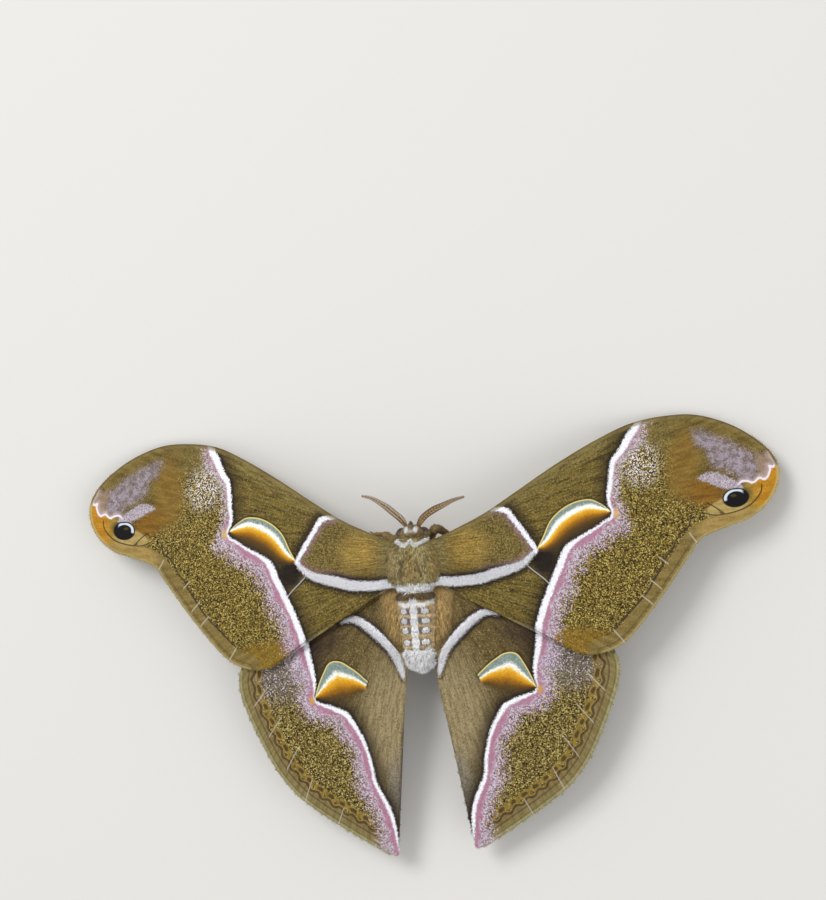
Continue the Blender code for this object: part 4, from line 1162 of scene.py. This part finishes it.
class MOTH_OT_skin(bpy.types.Operator):
    """Build one smooth skin over the thorax, abdomen, head and legs, and lay it under the coat"""
    bl_idname = "moth.skin"
    bl_label = "Skin"

    def execute(self, context):
        depth = context.scene.moth_fur.depth * MM
        body, legs = (self.surface([name for name in FLESH if name.startswith("leg") == leg])
                      for leg in (False, True))
        bm = bmesh.new()
        for name in FLESH:
            part = self.swollen(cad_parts[name].data)
            bm.from_mesh(part)
            bpy.data.meshes.remove(part)
        for vert in bmesh.ops.create_icosphere(bm, subdivisions=3, radius=1.0)["verts"]:
            vert.co = Vector(HOME + (np.array(vert.co) * HEAD_HALF + HEAD_MIDDLE) * MM)
        mesh = mesh_from(bm, "skin")
        skin = new_object("skin", mesh)
        remesh = skin.modifiers.new("fuse", "REMESH")
        remesh.mode = "VOXEL"
        remesh.voxel_size = SKIN_CELL
        fused = bpy.data.meshes.new_from_object(skin.evaluated_get(context.evaluated_depsgraph_get()))
        skin.modifiers.clear()
        skin.data = fused
        bpy.data.meshes.remove(mesh)
        bm = bmesh.new()
        bm.from_mesh(fused)
        self.drop_bubbles(bm)
        self.smooth(bm, 4)
        bm.normal_update()
        shares = []
        for vert in bm.verts:
            nearer = legs.find_nearest(vert.co)[3] - body.find_nearest(vert.co)[3]
            shares.append(min(max(nearer / (0.8 * MM) + 0.5, 0.0), 1.0))
            ahead = (vert.co[1] - HOME[1]) / MM
            thin = 1.0 - 0.7 * min(max((ahead - 2.8) / 1.4, 0.0), 1.0)
            vert.co -= vert.normal * (SKIN_SWELL + depth * shares[-1] * thin)
        self.smooth(bm, 2)
        bm.to_mesh(fused)
        bm.free()
        q = (mesh_points(fused) - HOME) / MM
        none = np.zeros(len(q))
        tone = np.random.default_rng(SKIN_SEED).random(len(q))
        fields = {"limb": 1.0 - np.array(shares), **body_fields(q), "tone": tone, "tip": none, "tuft": none}
        for name, values in fields.items():
            write_field(fused, name, values)
        skin.name = "skin"
        finish_piece(skin, make_fur_material(), "body_fur")
        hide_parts(*FLESH)
        return {"FINISHED"}

    def smooth(self, bm, rounds):
        for _ in range(rounds):
            bmesh.ops.smooth_vert(bm, verts=bm.verts[:], factor=0.5, use_axis_x=True, use_axis_y=True,
                                  use_axis_z=True)

    def drop_bubbles(self, bm):
        """Remove the small closed pieces that fusing leaves inside the body."""
        waiting = set(bm.verts)
        while waiting:
            found = [waiting.pop()]
            for vert in found:
                for edge in vert.link_edges:
                    other = edge.other_vert(vert)
                    if other in waiting:
                        waiting.discard(other)
                        found.append(other)
            if len(found) < BUBBLE_POINTS:
                bmesh.ops.delete(bm, geom=found, context="VERTS")

    def swollen(self, part):
        """A copy of a node's mesh with its corners merged and its surface moved outwards."""
        bm = bmesh.new()
        bm.from_mesh(part)
        bmesh.ops.remove_doubles(bm, verts=bm.verts[:], dist=0.002 * MM)
        bm.normal_update()
        for vert in bm.verts:
            vert.co += vert.normal * SKIN_SWELL
        return mesh_from(bm, "swollen")

    def surface(self, names):
        """A search tree over the surfaces of the named nodes."""
        points, faces = [], []
        for name in names:
            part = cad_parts[name].data
            faces += [[corner + len(points) for corner in face.vertices] for face in part.polygons]
            points += [vert.co[:] for vert in part.vertices]
        return BVHTree.FromPolygons(points, faces)


class MOTH_OT_coat(bpy.types.Operator):
    """Grow the coat of the thorax, head, abdomen and legs as thin overlapping tufts"""
    bl_idname = "moth.coat"
    bl_label = "Coat"

    def execute(self, context):
        settings = context.scene.moth_fur
        skin = bpy.data.objects["skin"].data
        skin.calc_loop_triangles()
        corners = np.empty(len(skin.loop_triangles) * 3, np.int32)
        skin.loop_triangles.foreach_get("vertices", corners)
        corners = corners.reshape(-1, 3)
        normals = np.array([vert.normal for vert in skin.vertices])
        triangles = mesh_points(skin)[corners]
        first, second, third = triangles.transpose(1, 0, 2)
        areas = np.linalg.norm(np.cross(second - first, third - first), axis=1)
        _, ahead, high = ((triangles.mean(1) - HOME) / MM).T
        limb = np.empty(len(normals), np.float32)
        skin.attributes["limb"].data.foreach_get("value", limb)
        leg = np.maximum(limb[corners].mean(1), faded(high, -5.2, -4.6)) >= 0.5
        zones = (
            ("thorax", (ahead < HEAD_START) & (ahead > ABDOMEN_START) & ~leg,
             settings.body_tufts, "body_fur"),
            ("head", (ahead >= HEAD_START) & ~leg, HEAD_TUFTS, "body_fur"),
            ("abdomen", (ahead <= ABDOMEN_START) & ~leg, settings.abdomen_tufts, "abdomen_fur"),
            ("leg", leg, LEG_TUFTS, "leg"),
        )
        draw = np.random.default_rng(COAT_SEED)
        for zone, inside, count, slot in zones:
            chance = areas * inside
            picks = draw.choice(len(areas), count, p=chance / chance.sum())
            shares = draw.dirichlet((1.0, 1.0, 1.0), count)
            roots, ups = (np.einsum("ij,ijk->ik", shares, part[picks])
                          for part in (triangles, normals[corners]))
            self.grow(zone, roots, unit(ups), draw, slot)
        return {"FINISHED"}

    def grow(self, zone, roots, ups, draw, slot):
        """Lay tufts along the body, longer on the thorax and shortest on the head and legs."""
        def between(low, high):
            return draw.uniform(low, high, count)

        count = len(roots)
        q = (roots - HOME) / MM
        x, y, z = q.T
        none, ones = np.zeros(count), np.ones(count)
        jitter = draw.normal(0.0, 1.0, (count, 3))
        lock = locks(q, 0.8, 1.0)
        if zone == "thorax":
            flank = eased(np.abs(x), 2.2, 4.3) * faded(-y, 2.5, 4.5)
            ways = np.stack([np.sign(x) * (0.12 + 1.5 * flank), -ones, none], 1) + jitter * 0.16
            ways[:, 0] += 0.35 * locks(q, 1.1, 2.0)
            band = eased(-y, 4.0, 4.4)
            collar = body_fields(q)["white"] * (y > 1.0)
            lengths = (1.15 + 0.5 * band - 0.3 * collar + 0.7 * flank) * between(0.75, 1.2)
            angles = 0.24 + 0.2 * collar + 0.1 * lock + between(-0.1, 0.12)
            widths = between(0.09, 0.15)
        elif zone == "head":
            front = eased(y, 3.7, 4.6)
            ways = np.stack([0.35 * x, 1.7 * front - 0.6, -0.1 * front], 1) + jitter * 0.2
            lengths = between(0.55, 0.95) * (1.0 - 0.45 * eased(-z, 0.3, 1.0))
            angles = 0.3 + 0.1 * lock + between(-0.12, 0.16)
            widths = between(0.08, 0.13)
        elif zone == "abdomen":
            wool = eased(-y, 15.8, 17.0)
            ways = np.stack([0.06 * x, -ones, none], 1) + jitter * (0.12 + 0.75 * wool)[:, None]
            rows = np.abs(((-y - 8.4) / 1.75) % 1.0 - 0.5) * 2.0
            lengths = (0.72 + 0.16 * rows + (0.25 + 0.25 * lock) * wool) * between(0.8, 1.2)
            angles = 0.16 + 0.14 * rows + (0.4 + 0.25 * lock) * wool + between(-0.06, 0.08)
            widths = between(0.09, 0.15)
        else:
            ways = np.stack([np.sign(x) * 0.6, none, -ones], 1) + jitter * 0.3
            lengths = between(0.26, 0.46)
            angles = 0.22 + between(-0.08, 0.12)
            widths = between(0.07, 0.11)
        ways = lean(ways, ups, angles)
        fields = body_fields(q + ways * lengths[:, None] * 0.6)
        fields["tone"] = np.clip(0.5 + 0.24 * lock + between(-0.45, 0.45), 0.0, 1.0)
        fields["tuft"] = ones
        piece = tuft_mesh(zone + "_coat", roots - ups * 0.04 * MM, ways, ups, lengths * MM, widths * MM,
                          fields, body_patches(q))
        finish_piece(piece, bpy.data.materials["fur"], slot)


class MOTH_OT_wing_fur(bpy.types.Operator):
    """Grow the woolly white bands, the hair at the wing bases and the fringe of the margins"""
    bl_idname = "moth.wing_fur"
    bl_label = "Wing fur"

    def execute(self, context):
        draw = np.random.default_rng(WING_SEED)
        for label, side in SIDES:
            self.forewing(draw, label, side)
            self.hindwing(draw, label, side)
            for kind in WINGS:
                self.fringe(draw, kind, label, side)
        return {"FINISHED"}

    def plant(self, name, kind, label, side, draw, flat, heading, lengths, widths, angles):
        """Turn flat roots and headings on a wing into a piece of tufts."""
        roots, ups, _ = wing_roots(kind, flat, side)
        fields = wing_roots(kind, flat + unit(heading) * lengths[:, None] * 0.5, side)[2]
        ways = np.column_stack([heading[:, 0] * side, heading[:, 1], np.zeros(len(flat))])
        ways = lean(ways, ups, angles)
        fields["tone"] = draw.random(len(flat))
        fields["tuft"] = np.ones(len(flat))
        piece = tuft_mesh(name + "_" + label, roots, ways, ups, lengths * MM, widths * MM, fields,
                          wing_patches(flat))
        finish_piece(piece, bpy.data.materials[kind + " scales"], "wing_scales")

    def forewing(self, draw, label, side):
        """The woolly band from the thorax to the fork of the white lines, and the gold shoulder hair."""
        route = smooth_route(FORE_BASE_LINE[12:], 0.3)
        count = FORE_BAND_TUFTS
        flat, _, sideways, _ = strewn(draw, route, count, 0.85)
        heading = np.array([0.75, 0.12]) + sideways * draw.normal(0.0, 0.35, count)[:, None]
        lengths = draw.uniform(0.5, 1.0, count)
        band = (flat, heading, lengths, draw.uniform(0.07, 0.12, count), draw.uniform(0.12, 0.4, count))
        count = WING_TUFTS
        far = draw.random(count) ** 2.0
        flat = np.column_stack([3.0 + 8.5 * far, draw.uniform(-4.2, 3.6, count)])
        flat[:, 1] = np.minimum(flat[:, 1], 1.9 + flat[:, 0] * 0.3)
        heading = np.column_stack([np.ones(count), 0.10 * flat[:, 1]]) + draw.normal(0.0, 0.18, (count, 2))
        lengths = draw.uniform(0.9, 2.0, count) * (1.0 - 0.65 * far)
        hair = (flat, heading, lengths, draw.uniform(0.06, 0.1, count), draw.uniform(0.03, 0.14, count))
        joined = [np.concatenate(pair) for pair in zip(band, hair)]
        self.plant("forewing_fur", "forewing", label, side, draw, *joined)

    def hindwing(self, draw, label, side):
        """The woolly band of the hindwing and the long tan hair beside the abdomen."""
        count = WING_TUFTS
        flat = strewn(draw, smooth_route(HIND_BASE_LINE, 0.3), count, 0.9)[0]
        heading = unit(flat - np.array([2.0, -4.0])) + draw.normal(0.0, 0.2, (count, 2))
        band = (flat, heading, draw.uniform(0.6, 1.1, count), draw.uniform(0.07, 0.12, count),
                draw.uniform(0.1, 0.35, count))
        down = draw.random(count)
        flat = np.column_stack([2.7 + 3.6 * draw.random(count) * (1 - 0.35 * down), -4.6 - 11.0 * down])
        heading = np.column_stack([0.12 + 0.05 * (flat[:, 0] - 3.0), -np.ones(count)])
        heading += draw.normal(0.0, 0.08, (count, 2))
        room = np.abs(measure(flat, smooth_route(HIND_BASE_LINE, 0.5))[0]) - 0.5
        keep = room > 0.6
        flat, heading, room = flat[keep], heading[keep], room[keep]
        count = len(flat)
        lengths = np.minimum(draw.uniform(1.6, 3.4, count), room)
        hair = (flat, heading, lengths, draw.uniform(0.05, 0.09, count), draw.uniform(0.04, 0.16, count))
        joined = [np.concatenate(pair) for pair in zip(band, hair)]
        self.plant("hindwing_fur", "hindwing", label, side, draw, *joined)

    def fringe(self, draw, kind, label, side):
        """Short hair scales that stand out from the margin, a little ragged."""
        rear, lead, _, margin = wing_sides(kind)
        rim = [margin[::-1], rear[::-1][1:]]
        if kind == "forewing":
            rim = [lead[-12:-1], margin[::-1], rear[::-1][1:60]]
        rim = np.concatenate(rim)
        count = int(float(np.linalg.norm(np.diff(rim, axis=0), axis=1).sum()) / FRINGE_SPACING)
        flat, ahead, sideways, shares = strewn(draw, rim, count, 0.0)
        flat = flat - sideways * draw.uniform(-0.05, 0.28, count)[:, None]
        heading = sideways + ahead * draw.normal(0.0, 0.2, count)[:, None]
        inside = depth_inside(flat + sideways * 0.3, smooth_route(WINGS[kind]["outline"], 0.6, closed=True))
        heading = np.where((inside > 0)[:, None], -heading, heading)
        flat = flat - heading * draw.uniform(0.05, 0.3, count)[:, None]
        if kind == "forewing":
            lengths = draw.uniform(0.28, 0.42, count)
        else:
            clumps = np.sin(shares * 310.0) * np.sin(shares * 97.0 + 1.0)
            lengths = (0.42 + 0.2 * clumps) * draw.uniform(0.8, 1.15, count)
        self.plant(kind + "_fringe", kind, label, side, draw, flat, heading, lengths,
                   draw.uniform(0.06, 0.1, count), np.full(count, 0.02))


def tube_mesh(name, tubes):
    """Closed tubes joined in one mesh; each is (route, radii, number of sides)."""
    bm = bmesh.new()
    for route, radii, sides in tubes:
        rings = []
        for index, place in enumerate(route):
            ahead = unit(route[min(index + 1, len(route) - 1)] - route[max(index - 1, 0)])
            aside = unit(np.cross(ahead, UP if abs(ahead[2]) < 0.9 else (1.0, 0.0, 0.0)))
            above = np.cross(aside, ahead)
            ring = [aside * math.cos(turn) + above * math.sin(turn)
                    for turn in (2 * math.pi * k / sides for k in range(sides))]
            rings.append([bm.verts.new(place + way * radii[index]) for way in ring])
        for low, high in zip(rings, rings[1:]):
            for k in range(sides):
                bm.faces.new((low[k], low[(k + 1) % sides], high[(k + 1) % sides], high[k]))
        bm.faces.new(rings[0][::-1])
        bm.faces.new(rings[-1])
    bmesh.ops.recalc_face_normals(bm, faces=bm.faces[:])
    return new_object(name, mesh_from(bm, name))


class MOTH_OT_antennae(bpy.types.Operator):
    """Build the two combed antennae"""
    bl_idname = "moth.antennae"
    bl_label = "Antennae"

    def execute(self, context):
        material, sheet, shader = new_material("antenna", 0.6)
        grain = sheet.step(sheet.noise(millimetres(sheet), 3.0, 3.0), 0.35, 0.65)
        rays = Layers(sheet, (sheet.step(sheet.field("out"), 0.35, 0.9), (198, 160, 92), (104, 62, 18)))
        rays.lay((58, 36, 14), sheet.field("dark"))
        comb = Layers(sheet, (grain, (96, 60, 18), (164, 124, 62)))
        comb.lay(rays.colour, (sheet.field("out"), 0.02, 0.1))
        sheet.put(shader.inputs["Base Color"], comb.colour)
        for label, side in SIDES:
            route = smooth_route([(x * side, y, z) for x, y, z in ANTENNA_ROUTES[label]], 0.12)
            self.build(context.scene.moth_antennae, label, route, material)
        return {"FINISHED"}

    def build(self, settings, label, route, material):
        """A tapering shaft with two rows of rays on each side whose tips bend ahead."""
        shares = np.linspace(0.0, 1.0, len(route))
        radii = np.interp(shares, (0.0, 0.08, 0.16, 1.0), (0.34, 0.3, 0.17, 0.06))
        tubes = [(route * MM + HOME, radii * MM, SHAFT_SIDES)]
        out = [0.0] * (len(route) * SHAFT_SIDES)
        dark = [0.0] * (len(route) * SHAFT_SIDES)
        for k in range(settings.rays):
            share = 0.07 + 0.91 * (k + 0.5) / settings.rays
            place, before, after = spaced(route, np.array([share, share - 0.02, min(share + 0.02, 1.0)]))
            ahead = unit(after - before)
            across = unit(np.cross(ahead, UP))
            size = settings.ray_length * min(1.0, 0.35 + share * 4.0) * (1.0 - max(share - 0.45, 0.0) * 1.25)
            thin = np.array((0.06, 0.065, 0.06, 0.035)) * (0.6 + 0.4 * size / settings.ray_length)
            for sign in (-1, 1):
                for tilt, stagger in ((0.35, 0.0), (-0.25, 0.5)):
                    start = place + ahead * stagger * 0.16
                    aside = across * sign
                    ray = [start + aside * size * reach + ahead * size * bend + UP * size * tilt * reach
                           for reach, bend in ((0.0, 0.0), (0.35, 0.12), (0.7, 0.3), (0.82, 0.62))]
                    tubes.append((np.array(ray) * MM + HOME, thin * MM, RAY_SIDES))
                    out += [far for far in (0.05, 0.45, 0.8, 1.0) for _ in range(RAY_SIDES)]
                    dark += [0.9 if k % 2 else 0.0] * (4 * RAY_SIDES)
        piece = tube_mesh("antenna_" + label + "_comb", tubes)
        write_field(piece.data, "out", out)
        write_field(piece.data, "dark", dark)
        finish_piece(piece, material, "antenna")
        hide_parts("antenna_" + label)


class MOTH_OT_eyes(bpy.types.Operator):
    """Build the two dark compound eyes"""
    bl_idname = "moth.eyes"
    bl_label = "Eyes"

    def execute(self, context):
        material, sheet, shader = new_material("eye", 0.35)
        shader.inputs["Specular IOR Level"].default_value = 0.5
        shader.inputs["Coat Weight"].default_value = 0.15
        points = millimetres(sheet)
        facets = sheet.value("ShaderNodeTexVoronoi", {"Vector": points, "Scale": 14.0}, output="Distance",
                             feature="DISTANCE_TO_EDGE")
        shade = sheet.step(sheet.noise(points, 0.8), 0.4, 0.62)
        sheet.put(shader.inputs["Base Color"], sheet.mix(shade, (24, 13, 8), (64, 32, 14)))
        relief(sheet, shader, sheet.step(facets, 0.0, 0.12), 0.00001, 0.4)
        x, y, z = EYE_MIDDLE
        for label, side in SIDES:
            bm = bmesh.new()
            bmesh.ops.create_uvsphere(bm, u_segments=48, v_segments=32, radius=EYE_RADIUS * MM)
            place = HOME + np.array([x * side, y, z]) * MM
            bmesh.ops.translate(bm, verts=bm.verts[:], vec=Vector(place))
            eye = new_object("eye_" + label + "_globe", mesh_from(bm, "eye"))
            finish_piece(eye, material, "eye")
            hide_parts("eye_" + label)
        return {"FINISHED"}


class MOTH_OT_claws(bpy.types.Operator):
    """Build a pair of small hooked claws on each foot"""
    bl_idname = "moth.claws"
    bl_label = "Claws"

    def execute(self, context):
        material, _, shader = new_material("claw", 0.4)
        shader.inputs["Base Color"].default_value = paint(52, 34, 20)
        tubes = []
        for name in FLESH:
            if not name.startswith("leg"):
                continue
            q = (mesh_points(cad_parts[name].data) - HOME) / MM
            low = q[q[:, 2] < q[:, 2].min() + 0.7]
            toe = low[np.argmax(np.linalg.norm(low - q[q[:, 2] > -4.0].mean(0), axis=1))]
            ahead = unit((toe - low.mean(0)) * (1.0, 1.0, 0.0))
            toe[2] = FLOOR_LEVEL + 0.3
            across = np.cross(ahead, UP)
            for sign in (-1, 1):
                hook = [toe + ahead * reach + across * sign * out - UP * drop
                        for reach, out, drop in ((-0.25, 0.08, 0.0), (0.12, 0.2, 0.0), (0.34, 0.26, 0.1),
                                                 (0.42, 0.26, 0.24))]
                tubes.append((np.array(hook) * MM + HOME, np.array((0.09, 0.08, 0.05, 0.015)) * MM, 6))
        finish_piece(tube_mesh("claws", tubes), material, "leg")
        return {"FINISHED"}


class MOTH_OT_stage(bpy.types.Operator):
    """Build the floor, the studio light and the camera"""
    bl_idname = "moth.stage"
    bl_label = "Stage"

    def execute(self, context):
        settings = context.scene.moth_stage
        bm = bmesh.new()
        bmesh.ops.create_grid(bm, x_segments=1, y_segments=1, size=2.5)
        floor = new_object("floor", mesh_from(bm, "floor"))
        material, _, shader = new_material("pale floor", 0.85)
        shader.inputs["Base Color"].default_value = settings.floor
        floor.data.materials.append(material)
        self.light("key", (-0.34, 0.42, 0.75), 0.42, settings.key_power)
        self.light("fill", (0.62, -0.3, 0.62), 0.6, settings.fill_power)
        world = bpy.data.worlds.new("studio")
        world.use_nodes = True
        background = world.node_tree.nodes["Background"]
        background.inputs["Color"].default_value = (1.0, 1.0, 1.0, 1.0)
        background.inputs["Strength"].default_value = 0.69
        context.scene.world = world
        context.scene.view_settings.view_transform = "Standard"
        camera = bpy.data.cameras.new("camera")
        camera.lens = CAMERA_LENS
        camera.sensor_width = 36.0
        camera.clip_start = 0.01
        seat = new_object("camera", camera)
        turn = Matrix((CAMERA_RIGHT, CAMERA_UP, CAMERA_BACK)).transposed()
        place = Vector(HOME + np.array(CAMERA_PLACE) * MM)
        seat.matrix_world = Matrix.Translation(place) @ turn.to_4x4()
        context.scene.camera = seat
        return {"FINISHED"}

    def light(self, name, place, size, power):
        """A soft square light that faces the moth."""
        lamp = bpy.data.lights.new(name, "AREA")
        lamp.size = size
        lamp.energy = power
        seat = new_object(name, lamp)
        seat.location = place
        seat.rotation_euler = (-Vector(place)).to_track_quat("-Z", "Y").to_euler()


class MOTH_PT_panel(bpy.types.Panel):
    """Lists the steps that build the moth's looks"""
    bl_idname = "MOTH_PT_panel"
    bl_label = "Silkmoth"
    bl_space_type = "VIEW_3D"
    bl_region_type = "UI"
    bl_category = "Silkmoth"

    def draw(self, context):
        for step in STEPS:
            self.layout.operator(step.bl_idname)


STEPS = (MOTH_OT_wings, MOTH_OT_skin, MOTH_OT_coat, MOTH_OT_wing_fur, MOTH_OT_antennae, MOTH_OT_eyes,
         MOTH_OT_claws, MOTH_OT_stage)
SETTINGS = {"moth_wings": WingSettings, "moth_fur": FurSettings, "moth_antennae": AntennaSettings,
            "moth_stage": StageSettings}


def register():
    for group in SETTINGS.values():
        bpy.utils.register_class(group)
    for name, group in SETTINGS.items():
        setattr(bpy.types.Scene, name, PointerProperty(type=group))
    for step in (*STEPS, MOTH_PT_panel):
        bpy.utils.register_class(step)


def unregister():
    for step in reversed((*STEPS, MOTH_PT_panel)):
        bpy.utils.unregister_class(step)
    for name in SETTINGS:
        delattr(bpy.types.Scene, name)
    for group in reversed(tuple(SETTINGS.values())):
        bpy.utils.unregister_class(group)


def main():
    register()
    for step in STEPS:
        area, action = step.bl_idname.split(".")
        getattr(getattr(bpy.ops, area), action)()


if __name__ == "__main__":
    main()
